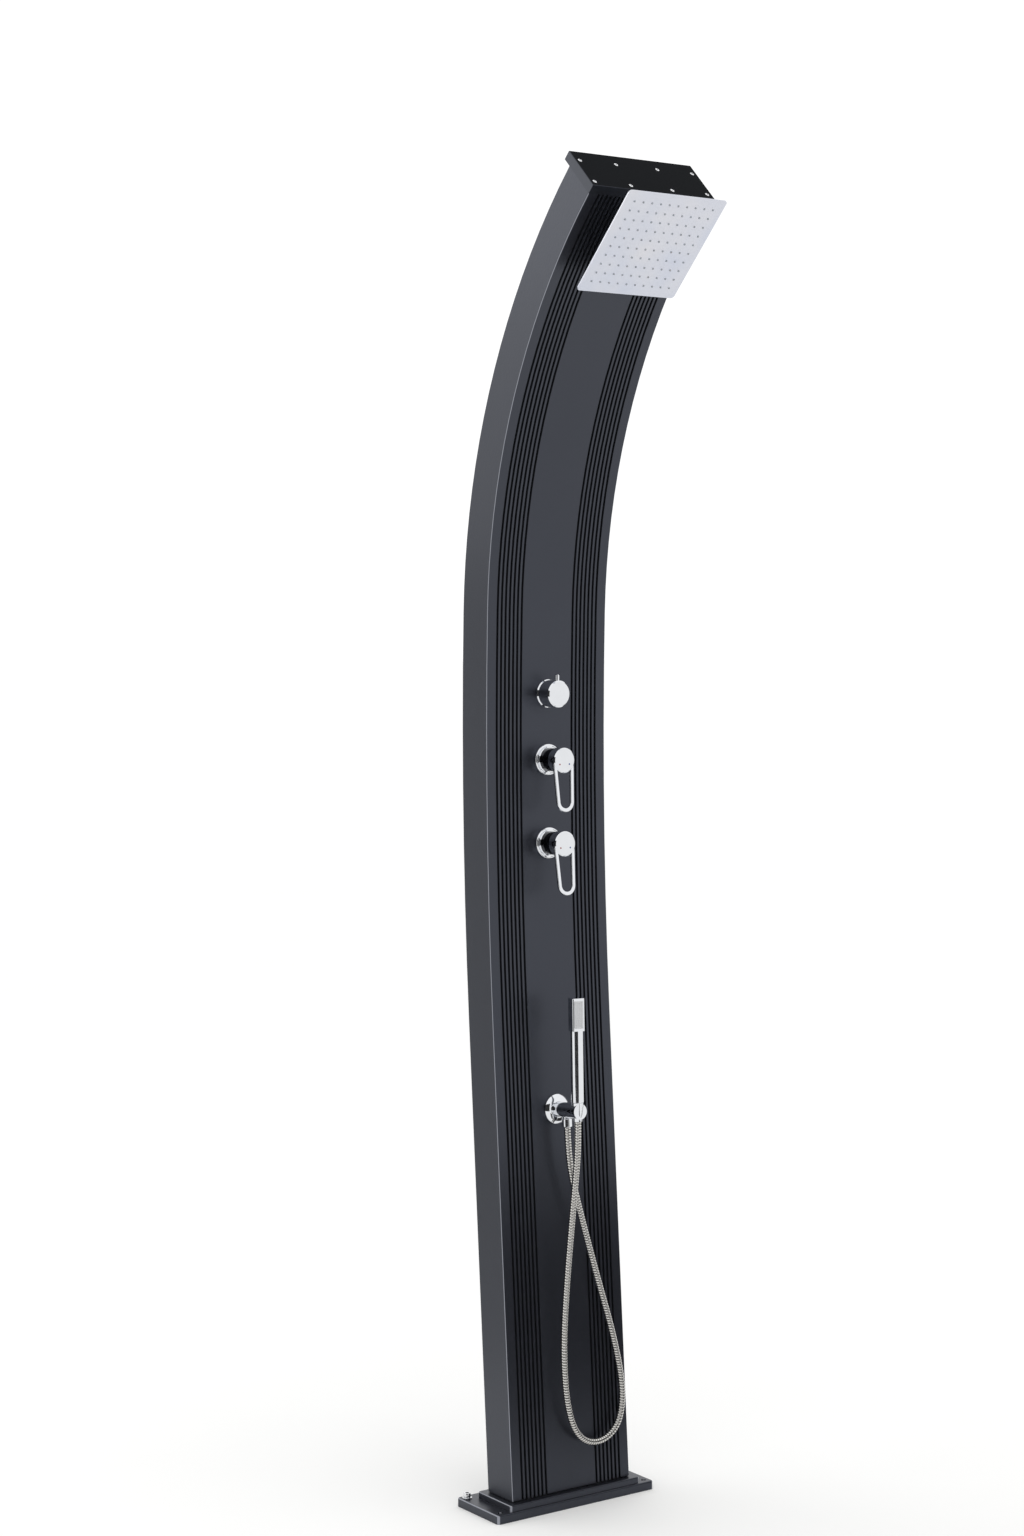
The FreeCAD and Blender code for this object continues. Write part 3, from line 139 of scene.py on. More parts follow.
class ShowerRainHead(bpy.types.PropertyGroup):
    """Sizes of the field of nozzles."""
    width: length_prop("Width", "Side of the square head", 0.2)
    rows: count_prop("Rows", "Nozzles along each side", 10)
    margin: length_prop("Margin", "From the head's edge to the first nozzle", 0.02)
    border: length_prop("Border", "From the head's edge to the mat's", 0.0175)
    mat_top: length_prop("Mat Top", "From the ball's centre to the back of the face", 0.025)
    mat_thickness: length_prop("Mat Thickness", "Sheet that the nozzles stand on", 0.0008)
    corner: length_prop("Corner", "Rounding of the mat's corners", 0.003)
    ease: length_prop("Ease", "Rounding of the mat's edges", 0.0003)
    reach: length_prop("Reach", "From the mat to a nozzle's tip", 0.0027)
    radius: length_prop("Radius", "Half the width of a nozzle in its hole", 0.0017)
    outlet: length_prop("Outlet", "Half the width of a nozzle's opening", 0.0006)


class ShowerFasteners(bpy.types.PropertyGroup):
    """Sizes of the screws and of the anchor bolt."""
    socket: length_prop("Socket", "Half the width of a screw's socket", 0.0013)
    socket_depth: length_prop("Socket Depth", "Depth of a screw's socket", 0.0016)
    lobes: count_prop("Lobes", "Lobes of a screw's socket", 6)
    lobe: length_prop("Lobe", "How far the socket's lobes swing in and out", 0.0002)
    rim: length_prop("Rim", "Height of the straight rim of a screw's head", 0.0003)
    dome: length_prop("Dome", "How far a screw's head rises to its socket", 0.0007)
    head: length_prop("Head", "Height of a screw's head", 0.0026)
    shank: length_prop("Shank", "Half the width of a screw's shank", 0.002)
    inset: length_prop("Inset", "From the foot plate's edges to an anchor hole", 0.013)
    washer: length_prop("Washer", "Half the width of the anchor bolt's washer", 0.0085)
    washer_height: length_prop("Washer Height", "Thickness of the washer", 0.0016)
    bolt: length_prop("Bolt", "Half the width of the anchor bolt's head", 0.0065)
    bolt_height: length_prop("Bolt Height", "Height of the anchor bolt's head", 0.0075)
    key: length_prop("Key", "Half the width across the flats of the bolt's socket", 0.003)
    shaft: length_prop("Shaft", "Half the width of the anchor bolt's shaft", 0.0038)


class ShowerHandset(bpy.types.PropertyGroup):
    """Sizes of the hand shower's spray plate."""
    turn: bpy.props.FloatProperty(
        name="Turn", description="How far the handset stands turned in its holder", subtype="ANGLE",
        default=math.radians(-14))
    width: length_prop("Width", "Width of the spray plate", 0.016)
    height: length_prop("Height", "Height of the spray plate", 0.046)
    thickness: length_prop("Thickness", "Thickness of the spray plate", 0.002)
    corner: length_prop("Corner", "Rounding of the spray plate's corners", 0.0015)
    ease: length_prop("Ease", "Rounding of the spray plate's edges", 0.0004)
    middle: length_prop("Middle", "From the seat to the middle of the spray plate", 0.166)
    front: length_prop("Front", "From the handset's axis to the front of the plate", 0.012)
    columns: count_prop("Columns", "Nozzles in each row", 4)
    rows: count_prop("Rows", "Rows of nozzles", 15)
    nub: length_prop("Nub", "Half the width of a spray nozzle", 0.00075)


class ShowerLevers(bpy.types.PropertyGroup):
    """Sizes of the marks on the lever caps."""
    face: length_prop("Face", "From the column's face to the front of a lever's cap", 0.053)
    side: length_prop("Side", "From the cap's middle to a mark, sideways", 0.010)
    drop: length_prop("Drop", "From the cap's middle to a mark, downwards", 0.0066)
    radius: length_prop("Radius", "Half the width of a mark", 0.0015)
    rise: length_prop("Rise", "How far a mark stands proud of the cap", 0.0004)


class ShowerGrooves(bpy.types.PropertyGroup):
    """Where the column's grooves run, for the painted shade inside them."""
    first: length_prop("First", "From the column's middle to the outermost groove", 0.104)
    pitch: length_prop("Pitch", "From one groove to the next", 0.00835)
    width: length_prop("Width", "Width of a groove", 0.0044)
    count: count_prop("Count", "Grooves in each band", 7)


class ShowerColours(bpy.types.PropertyGroup):
    """Colours of the finishes."""
    graphite: colour_prop("Graphite", "Powder coat of the column and the foot", "#191a1f")
    # Painted highlight: a lighter colour on the eased edges of the column and the foot, for the light they catch.
    edge: colour_prop("Edge", "Thin coat on the eased edges", "#8a8c93")
    # Painted shade: the near-black colour inside the column's grooves stands in for the shadow in them.
    groove: colour_prop("Groove", "Inside of the column's grooves", "#030304")
    cap: colour_prop("Cap", "Anodised top cap", "#0f1114")
    chrome: colour_prop("Chrome", "Plated fittings", "#e2e4e8")
    dark_chrome: colour_prop("Dark Chrome", "Plated sleeves behind the levers", "#3c3d40")
    steel: colour_prop("Steel", "Rain head", "#d1d3db")
    screw: colour_prop("Screw", "Screws and anchor bolt", "#e3e4e6")
    hose: colour_prop("Hose", "Metal of the hose", "#d8d6d2")
    brass: colour_prop("Brass", "Valve bodies and elbows", "#b08d4c")
    copper: colour_prop("Copper", "Pipes inside the column", "#b86f4a")
    rubber: colour_prop("Rubber", "Gasket under the column", "#131314")
    silicone: colour_prop("Silicone", "Rain nozzles", "#a0a4ab")
    spray: colour_prop("Spray", "Spray plate of the handset", "#c9cacc")
    ball: colour_prop("Ball", "Plastic seats and cartridges", "#3a3b3e")
    hot: colour_prop("Hot", "Hot mark on the levers", "#8c3a34")
    cold: colour_prop("Cold", "Cold mark on the levers", "#3a4f86")
    floor: colour_prop("Floor", "Studio floor", "#f8f8f7")


class ShowerStudio(bpy.types.PropertyGroup):
    """Camera, light and floor."""
    camera_place: bpy.props.FloatVectorProperty(
        name="Camera Place", description="Where the camera stands", subtype="TRANSLATION", unit="LENGTH",
        default=(-2.7564, -3.7422, 1.5187))
    camera_heading: bpy.props.FloatProperty(
        name="Camera Heading", description="Turn from facing the column's front", subtype="ANGLE",
        default=math.radians(35.43))
    camera_dip: bpy.props.FloatProperty(
        name="Camera Dip", description="Tilt below level", subtype="ANGLE", default=math.radians(3.10))
    lens: bpy.props.FloatProperty(
        name="Lens", description="Focal length on a frame 36 mm high, in millimetres", default=63.80)
    sky: bpy.props.FloatProperty(name="Sky", description="Strength of the white surround", default=1.08)
    floor_side: length_prop("Floor Side", "Side of the square floor", 160)
    side_power: bpy.props.FloatProperty(
        name="Side Power", description="Soft box at the back left", unit="POWER", default=7)


def add(tree, kind, links=None, **settings):
    """Adds a node with its settings, and links or sets its inputs."""
    node = tree.nodes.new(kind)
    for name, value in settings.items():
        setattr(node, name, value)
    for name, value in (links or {}).items():
        if isinstance(value, bpy.types.NodeSocket):
            tree.links.new(value, node.inputs[name])
        else:
            node.inputs[name].default_value = value
    return node


def maths(tree, operation, *values):
    """The result of a maths node."""
    return add(tree, "ShaderNodeMath", dict(enumerate(values)), operation=operation).outputs[0]


def ranged(tree, value, low, high, start=0, stop=1):
    """A value that runs from low to high while the given one runs from start to stop."""
    return add(tree, "ShaderNodeMapRange", {
        "Value": value, "From Min": start, "From Max": stop, "To Min": low, "To Max": high}).outputs[0]


def mixed(tree, share, *colours):
    """A colour between two, each a socket or red, green and blue."""
    first, second = [end if isinstance(end, bpy.types.NodeSocket) else (*end, 1) for end in colours]
    return add(tree, "ShaderNodeMix", {0: share, 6: first, 7: second}, data_type="RGBA").outputs[2]


def noise(tree, place, millimetres, detail):
    """A share from 0 to 1 that wanders in clouds of about that size."""
    return add(tree, "ShaderNodeTexNoise", {
        "Vector": place, "Scale": 1000 / millimetres, "Detail": detail}).outputs[0]


def facing(tree):
    """Which way the surface looks, in the part's own frame."""
    return add(tree, "ShaderNodeTexCoord").outputs["Normal"]


def start_finish(name, **values):
    """A new material with its shader's plain values, its tree and Object coordinates."""
    material = bpy.data.materials.new(name)
    material.use_nodes = True
    tree = material.node_tree
    shader = tree.nodes["Principled BSDF"]
    for label, value in values.items():
        shader.inputs[label.replace("_", " ")].default_value = value
    place = add(tree, "ShaderNodeTexCoord").outputs["Object"]
    return material, tree, shader.inputs, place


def tinted(colour, factor):
    return tuple(min(1, part * factor) for part in colour)


def vary_colour(tree, shader, share, dark, light):
    """Runs the base colour from dark to light with a share from 0 to 1."""
    tree.links.new(mixed(tree, share, dark, light), shader["Base Color"])


def vary_roughness(tree, shader, share, low, high):
    tree.links.new(ranged(tree, share, low, high), shader["Roughness"])


def raise_bump(tree, shader, height, millimetres, strength):
    bump = add(tree, "ShaderNodeBump", {
        "Height": height, "Distance": millimetres / 1000, "Strength": strength})
    tree.links.new(bump.outputs[0], shader["Normal"])


def mottled(name, colour, size, detail, tints, roughness, bump=None, **values):
    """A finish whose colour and roughness follow one pattern. Its size and its bump are in millimetres."""
    material, tree, shader, place = start_finish(name, **values)
    pattern = noise(tree, place, size, detail)
    dark, light = [tinted(colour, tint) for tint in tints]
    vary_colour(tree, shader, pattern, dark, light)
    vary_roughness(tree, shader, pattern, *roughness)
    if bump:
        raise_bump(tree, shader, pattern, *bump)
    return material


def groove_share(tree, place, grooves):
    """Where the grooves' painted shade goes: 1 inside the grooves of the column's front and 0 elsewhere, from the
    place across the column.
    """
    # The painted shade reaches a little past a groove's walls, and faces that lean too far back have none.
    spill = 1.02
    furthest_back = 0.3
    spot = add(tree, "ShaderNodeSeparateXYZ", {0: place}).outputs
    out = maths(tree, "ABSOLUTE", spot["X"])
    inward = maths(tree, "SUBTRACT", grooves.first, out)
    steps = maths(tree, "DIVIDE", inward, grooves.pitch)
    nearest = maths(tree, "ROUND", steps)
    held = add(tree, "ShaderNodeClamp", {"Value": nearest, "Min": 0, "Max": grooves.count - 1}).outputs[0]
    distance = maths(tree, "ABSOLUTE", maths(tree, "SUBTRACT", steps, held))
    inside = maths(tree, "LESS_THAN", distance, grooves.width / grooves.pitch / 2 * spill)
    backward = add(tree, "ShaderNodeSeparateXYZ", {0: facing(tree)}).outputs["Y"]
    forward = maths(tree, "LESS_THAN", backward, furthest_back)
    above = maths(tree, "GREATER_THAN", spot["Z"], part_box("column")[0].z)
    return maths(tree, "MULTIPLY", maths(tree, "MULTIPLY", inside, forward), above)


def edge_share(tree):
    """Where the painted edge highlight goes: 1 where an eased edge faces between the side and the front, and 0 on
    the flat faces.
    """
    across = add(tree, "ShaderNodeSeparateXYZ", {0: facing(tree)}).outputs["X"]
    square = maths(tree, "MULTIPLY", across, across)
    rest = maths(tree, "SUBTRACT", 1, square)
    # Halfway between the two faces this product is a quarter.
    turned = maths(tree, "MULTIPLY", square, rest)
    return ranged(tree, turned, 0, 1, start=0.06, stop=0.16)


def graphite_powder_coat(scene):
    # Powder coat on extruded aluminium: blue-black, dry to the eye, with a grain that breaks up the sheen.
    colours = scene.shower_colours
    material, tree, shader, place = start_finish(
        "graphite_powder_coat", Specular_IOR_Level=0.7, Specular_Tint=COOL_SHEEN)
    # The real grain is near 0.3 mm, so it is drawn at 4 mm to show at all.
    grain = noise(tree, place, millimetres=4, detail=4)
    cloud = noise(tree, place, millimetres=90, detail=2)
    grain_share = maths(tree, "MULTIPLY", grain, 0.6)
    both = maths(tree, "MULTIPLY_ADD", cloud, 0.4, grain_share)
    coat = mixed(tree, both, tinted(colours.graphite, 0.75), tinted(colours.graphite, 1.25))
    # Painted highlight: the eased edges get a lighter colour, standing in for the light that their rounding
    # catches.
    eased = mixed(tree, edge_share(tree), coat, colours.edge)
    # Painted shade: the insides of the grooves are coloured near black, as if in deep shadow, and are also made
    # rougher.
    dark = groove_share(tree, place, scene.shower_grooves)
    tree.links.new(mixed(tree, dark, eased, colours.groove), shader["Base Color"])
    rough = ranged(tree, grain, 0.3, 0.42)
    dull = maths(tree, "MULTIPLY_ADD", dark, 0.45, rough)
    tree.links.new(dull, shader["Roughness"])
    raise_bump(tree, shader, grain, 0.4, 0.25)
    return material


def black_anodised_aluminium(scene):
    # Anodised sheet: deep black and dull on its faces, with brighter cut edges and faint rolling marks.
    colour = scene.shower_colours.cap
    material, tree, shader, place = start_finish("black_anodised_aluminium", Specular_Tint=COOL_SHEEN)
    stretched = add(tree, "ShaderNodeMapping", {"Vector": place, "Scale": (0.05, 1, 1)})
    marks = noise(tree, stretched.outputs[0], millimetres=1.5, detail=3)
    vary_colour(tree, shader, marks, tinted(colour, 0.8), tinted(colour, 1.2))
    vary_roughness(tree, shader, marks, 0.34, 0.46)
    raise_bump(tree, shader, marks, 0.05, 0.1)
    edge_sheen = 0.7
    face_sheen = 0.012
    largest = max(NODES["top_cap"].data.polygons, key=lambda face: face.area)
    square_on = add(tree, "ShaderNodeVectorMath", {0: facing(tree), 1: largest.normal},
                    operation="DOT_PRODUCT").outputs["Value"]
    flat = maths(tree, "ABSOLUTE", square_on)
    sheen = ranged(tree, flat, edge_sheen, face_sheen, start=0.8, stop=0.98)
    tree.links.new(sheen, shader["Specular IOR Level"])
    return material


def chrome_plate(scene):
    # Bright chrome on brass: a clear mirror, with the faint haze that wiping and water spots leave.
    return mottled("chrome_plate", scene.shower_colours.chrome, size=14, detail=5, tints=(0.94, 1.04),
                   roughness=(0.03, 0.10), Metallic=1)


def black_chrome_plate(scene):
    # Dark plating on the sleeves: a mirror that gives back little light.
    return mottled("black_chrome_plate", scene.shower_colours.dark_chrome, size=9, detail=4,
                   tints=(0.85, 1.1), roughness=(0.08, 0.18), Metallic=1)


def satin_stainless_steel(scene):
    # Satin stainless sheet: pale, with soft clouds of bluer and warmer grey and hair-fine brushing.
    colour = scene.shower_colours.steel
    material, tree, shader, place = start_finish("satin_stainless_steel", Metallic=1)
    cloud = noise(tree, place, millimetres=70, detail=2)
    cool = tuple(part * factor for part, factor in zip(colour, (0.86, 0.91, 1.0)))
    warm = tuple(min(1, part * factor) for part, factor in zip(colour, (1.12, 1.08, 1.02)))
    vary_colour(tree, shader, cloud, cool, warm)
    # Brushing lines are near 0.1 mm wide, so they are drawn 0.6 mm wide.
    drawn = add(tree, "ShaderNodeMapping", {"Vector": place, "Scale": (0.02, 1, 1)})
    lines = noise(tree, drawn.outputs[0], millimetres=0.6, detail=2)
    vary_roughness(tree, shader, lines, 0.26, 0.40)
    raise_bump(tree, shader, lines, 0.02, 0.15)
    return material


def screw_stainless_steel(scene):
    # Turned stainless: bright, with fine tool marks.
    return mottled("screw_stainless_steel", scene.shower_colours.screw, size=1.2, detail=3, tints=(0.85, 1.1),
                   roughness=(0.14, 0.30), Metallic=1)


def hose_stainless_steel(scene):
    # Wound stainless strip, slightly straw coloured: bright metal on the crests, with painted shade that darkens
    # it deep in the folds.
    colour = scene.shower_colours.hose
    material, tree, shader, place = start_finish("hose_stainless_steel", Metallic=1)
    fold = add(tree, "ShaderNodeAttribute", attribute_name="fold").outputs["Fac"]
    rubbed = noise(tree, place, millimetres=18, detail=3)
    crest = mixed(tree, rubbed, tinted(colour, 0.9), tinted(colour, 1.06))
    # Painted shade: the colour runs to near black as a ring lies deeper in a fold.
    painted_fold_shade = ranged(tree, fold, 0, 0.9, start=0.1, stop=0.75)
    vary_colour(tree, shader, painted_fold_shade, crest, tinted(colour, 0.06))
    vary_roughness(tree, shader, rubbed, 0.08, 0.18)
    return material


def cast_brass(scene):
    # Cast brass: dull gold with browner patches where it has tarnished.
    return mottled("cast_brass", scene.shower_colours.brass, size=11, detail=5, tints=(0.6, 1.15),
                   roughness=(0.28, 0.5), bump=(0.1, 0.2), Metallic=1)


def drawn_copper(scene):
    # Drawn copper pipe: warm, half bright, with brown bands.
    return mottled("drawn_copper", scene.shower_colours.copper, size=20, detail=4, tints=(0.55, 1.1),
                   roughness=(0.22, 0.42), Metallic=1)


def moulded_rubber(scene):
    # Moulded black rubber: matt, slightly dusty.
    return mottled("moulded_rubber", scene.shower_colours.rubber, size=3, detail=4, tints=(0.7, 1.5),
                   roughness=(0.65, 0.85), bump=(0.1, 0.2))


def moulded_silicone(scene):
    # Grey silicone: soft sheen, a little lighter where it has been rubbed clean of lime.
    return mottled("moulded_silicone", scene.shower_colours.silicone, size=5, detail=3, tints=(0.8, 1.25),
                   roughness=(0.42, 0.6), Subsurface_Weight=0.05)


def satin_plated_plastic(scene):
    # Plated ABS with a satin face: pale metal grey with a fine moulded texture.
    return mottled("satin_plated_plastic", scene.shower_colours.spray, size=1.5, detail=3, tints=(0.9, 1.08),
                   roughness=(0.28, 0.42), bump=(0.03, 0.15), Metallic=0.7)


def moulded_acetal(scene):
    # Moulded acetal: dark, slightly waxy plastic.
    return mottled("moulded_acetal", scene.shower_colours.ball, size=8, detail=3, tints=(0.85, 1.2),
                   roughness=(0.35, 0.5))


def enamel(name, colour):
    # A drop of enamel: glossy, darker where it is thin.
    return mottled(name, colour, size=1.5, detail=2, tints=(0.8, 1.15), roughness=(0.2, 0.3), Coat_Weight=0.4)


def studio_floor(scene):
    # Painted studio floor: pale and matt, with barely visible roller marks.
    return mottled("studio_floor", scene.shower_colours.floor, size=400, detail=2, tints=(0.99, 1.01),
                   roughness=(0.7, 0.8), Specular_IOR_Level=0)


FINISHES = {
    "graphite_aluminium": graphite_powder_coat,
    "black_aluminium": black_anodised_aluminium,
    "chrome": chrome_plate,
    "dark_chrome": black_chrome_plate,
    "steel": satin_stainless_steel,
    "screw_steel": screw_stainless_steel,
    "brass": cast_brass,
    "copper_pipe": drawn_copper,
    "rubber": moulded_rubber,
    "silicone": moulded_silicone,
    "spray_plastic": satin_plated_plastic,
    "ball_plastic": moulded_acetal,
}


def finish(scene, slot):
    """The material of a record slot, made once."""
    make = FINISHES[slot]
    return bpy.data.materials.get(make.__name__) or make(scene)


def finish_nodes(scene, slots):
    """Puts the slots' materials on the solids that keep their shape."""
    for name, node in NODES.items():
        if SLOTS[name] in slots:
            node.data.materials.clear()
            node.data.materials.append(finish(scene, SLOTS[name]))


def new_piece(name, mesh):
    piece = bpy.data.objects.new(name, mesh)
    bpy.context.scene.collection.objects.link(piece)
    return piece


def flat_sheet(name, width, height, material):
    """A rectangle about its own middle, lying in X and Y."""
    x, y = width / 2, height / 2
    mesh = bpy.data.meshes.new(name)
    mesh.from_pydata([(-x, -y, 0), (x, -y, 0), (x, y, 0), (-x, y, 0)], [], [(0, 1, 2, 3)])
    mesh.materials.append(material)
    return new_piece(name, mesh)


def skinned(name, shape, rings):
    """A closed mesh over rings of points."""
    for low, high in zip(rings, rings[1:]):
        for i in range(len(low)):
            after = (i + 1) % len(low)
            shape.faces.new((low[i], low[after], high[after], high[i]))
    shape.faces.new(reversed(rings[0]))
    shape.faces.new(rings[-1])
    bmesh.ops.recalc_face_normals(shape, faces=shape.faces)
    mesh = bpy.data.meshes.new(name)
    shape.to_mesh(mesh)
    shape.free()
    return mesh


def scaled(outline, radius, height, base=0):
    """An outline in shares, as rows of (radius, height)."""
    return [(radius * out, base + height * up) for out, up in outline]


def turned_mesh(name, profile, sides):
    """A closed round shape from rows of (radius, height), each radius a number or a function of the turn."""
    shape = bmesh.new()
    rings = []
    for radius, height in profile:
        ring = []
        for i in range(sides):
            turn = 2 * math.pi * i / sides
            out = radius(turn) if callable(radius) else radius
            ring.append(shape.verts.new((out * math.cos(turn), out * math.sin(turn), height)))
        rings.append(ring)
    return skinned(name, shape, rings)


def rounded_plate(name, width, height, low, high, corner, ease, steps=5):
    """A plate with round corners and eased edges, lying in X and Y between two heights."""
    shape = bmesh.new()

    def ring(inset, level):
        points = []
        for quarter, (sx, sy) in enumerate(((1, 1), (-1, 1), (-1, -1), (1, -1))):
            for i in range(steps + 1):
                turn = math.pi / 2 * (quarter + i / steps)
                x = sx * (width / 2 - corner) + (corner - inset) * math.cos(turn)
                y = sy * (height / 2 - corner) + (corner - inset) * math.sin(turn)
                points.append(shape.verts.new((x, y, level)))
        return points

    # An eased edge has one row of points between its two faces, close to a quarter circle.
    bend = ease * 0.3
    levels = [(ease, low), (bend, low + bend), (0, low + ease),
              (0, high - ease), (bend, high - bend), (ease, high)]
    return skinned(name, shape, [ring(inset, level) for inset, level in levels])


def smooth_by_angle(mesh, degrees):
    """Smooth faces with sharp edges where two faces meet at more than the angle."""
    mesh.shade_smooth()
    mesh.set_sharp_from_angle(angle=math.radians(degrees))


def start_tree(name, inputs):
    """A geometry tree with its named inputs, and their sockets."""
    tree = bpy.data.node_groups.new(name, "GeometryNodeTree")
    tree.interface.new_socket("Geometry", in_out="INPUT", socket_type="NodeSocketGeometry")
    for label, kind in inputs.items():
        tree.interface.new_socket(label, in_out="INPUT", socket_type="NodeSocket" + kind)
    tree.interface.new_socket("Geometry", in_out="OUTPUT", socket_type="NodeSocketGeometry")
    return tree, add(tree, "NodeGroupInput").outputs


def end_tree(tree, geometry, material):
    real = add(tree, "GeometryNodeRealizeInstances", {"Geometry": geometry})
    painted = add(tree, "GeometryNodeSetMaterial", {
        "Geometry": real.outputs[0], "Material": material})
    add(tree, "NodeGroupOutput", {0: painted.outputs[0]})


def joined(tree, *pieces):
    both = add(tree, "GeometryNodeJoinGeometry")
    for piece in pieces:
        tree.links.new(piece, both.inputs[0])
    return both.outputs[0]


def repeated(tree, shape, points):
    """One shape, repeated on points."""
    model = add(tree, "GeometryNodeObjectInfo", {"Object": shape})
    return add(tree, "GeometryNodeInstanceOnPoints", {
        "Points": points, "Instance": model.outputs["Geometry"]}).outputs[0]


def grow(piece, tree, values):
    """Runs a tree on a piece and keeps the result as a plain mesh."""
    modifier = piece.modifiers.new("rule", "NODES")
    modifier.node_group = tree
    for item in tree.interface.items_tree:
        if item.in_out == "INPUT" and item.name in values:
            modifier[item.identifier] = values[item.name]
    piece.update_tag()
    graph = bpy.context.evaluated_depsgraph_get()
    mesh = bpy.data.meshes.new_from_object(piece.evaluated_get(graph))
    piece.modifiers.remove(modifier)
    mesh.name = piece.name
    piece.data = mesh


def hose_tree():
    """Rings of points along a line, swollen into ribs, with a bore inside."""
    tree, given = start_tree("ribbed_hose", {
        "Ribs": "Int", "Rings": "Int", "Sides": "Int", "Crest": "Float", "Valley": "Float", "Bore": "Float",
        "Material": "Material"})
    line = add(tree, "GeometryNodeMeshToCurve", {"Mesh": given["Geometry"]}).outputs[0]
    factor = add(tree, "GeometryNodeSplineParameter").outputs["Factor"]
    circle = add(tree, "GeometryNodeCurvePrimitiveCircle", {"Resolution": given["Sides"], "Radius": 1})

    def stored(curve, name, value):
        return add(tree, "GeometryNodeStoreNamedAttribute", {
            "Geometry": curve, "Name": name, "Value": value}).outputs[0]

    def tube(curve, radius):
        return add(tree, "GeometryNodeCurveToMesh", {
            "Curve": curve, "Profile Curve": circle.outputs[0], "Scale": radius}).outputs[0]

    steps = add(tree, "FunctionNodeIntegerMath", {0: given["Ribs"], 1: given["Rings"], 2: 1},
                operation="MULTIPLY_ADD")
    dense = add(tree, "GeometryNodeResampleCurve", {"Curve": line, "Count": steps.outputs[0]})
    index = add(tree, "GeometryNodeInputIndex")
    phase = maths(tree, "FRACT", maths(tree, "DIVIDE", index.outputs[0], given["Rings"]))
    wave = maths(tree, "SINE", maths(tree, "MULTIPLY", phase, math.pi))
    swell = maths(tree, "SQRT", wave)
    height = maths(tree, "SUBTRACT", given["Crest"], given["Valley"])
    radius = maths(tree, "MULTIPLY_ADD", swell, height, given["Valley"])
    # How deep each ring lies in a fold, stored for the hose's painted shade.
    depth = maths(tree, "SUBTRACT", 1, swell)
    skin = tube(stored(stored(dense.outputs[0], "fold", depth), "along", factor), radius)
    sparse = add(tree, "GeometryNodeResampleCurve", {"Curve": line, "Count": given["Ribs"]})
    bore = tube(stored(sparse.outputs[0], "along", factor), given["Bore"])
    soft = add(tree, "GeometryNodeSetShadeSmooth", {"Geometry": joined(tree, skin, bore)})
    end_tree(tree, soft.outputs[0], given["Material"])
    return tree


def grid_tree():
    """The piece itself, and one shape repeated on a grid of points."""
    tree, given = start_tree("nozzle_grid", {
        "Columns": "Int", "Rows": "Int", "Width": "Float", "Height": "Float", "Shape": "Object",
        "Material": "Material"})
    grid = add(tree, "GeometryNodeMeshGrid", {
        "Size X": given["Width"], "Size Y": given["Height"],
        "Vertices X": given["Columns"], "Vertices Y": given["Rows"]})
    placed = repeated(tree, given["Shape"], grid.outputs[0])
    end_tree(tree, joined(tree, given["Geometry"], placed), given["Material"])
    return tree


def seat_tree():
    """One shape repeated on the points of the piece."""
    tree, given = start_tree("screw_seats", {"Shape": "Object", "Material": "Material"})
    end_tree(tree, repeated(tree, given["Shape"], given["Geometry"]), given["Material"])
    return tree


def joint_frame(joint, up=False):
    """A frame at a joint: X to the right, Z along the joint's axis, or Y along it where it points up."""
    origin, axis = Vector(joint["pos_m"]), Vector(joint["axis"]).normalized()
    if up:
        x, y, z = RIGHT, axis, RIGHT.cross(axis)
    else:
        x, y, z = RIGHT, axis.cross(RIGHT), axis
    turned = Matrix((x, y, z)).transposed()
    return Matrix.Translation(origin) @ turned.to_4x4()


def solids_of(node):
    """The corner points of each separate solid in a node."""
    shape = bmesh.new()
    shape.from_mesh(node.data)
    bmesh.ops.remove_doubles(shape, verts=shape.verts, dist=SAME_POINT)
    left = set(shape.verts)
    solids = []
    while left:
        front = [left.pop()]
        solid = []
        while front:
            corner = front.pop()
            solid.append(corner.co.copy())
            for edge in corner.link_edges:
                other = edge.other_vert(corner)
                if other in left:
                    left.remove(other)
                    front.append(other)
        solids.append(np.array(solid))
    shape.free()
    return solids


def screw_seat(solid):
    """A screw's axis towards its head, the middle of its head's top, its length and its head's radius."""
    middle = solid.mean(axis=0)
    axis = np.linalg.svd(solid - middle)[2][0]
    along = (solid - middle) @ axis
    off = solid - middle - np.outer(along, axis)
    centre = middle + (off.min(axis=0) + off.max(axis=0)) / 2
    wide = np.linalg.norm(solid - centre - np.outer((solid - centre) @ axis, axis), axis=1)
    along = (solid - centre) @ axis
    # The widest tenth is the rim of the head.
    head = wide > wide.max() * 0.9
    if along[head].mean() < (along.min() + along.max()) / 2:
        axis, along = -axis, -along
    return axis, centre + axis * along.max(), along.max() - along.min(), wide.max()


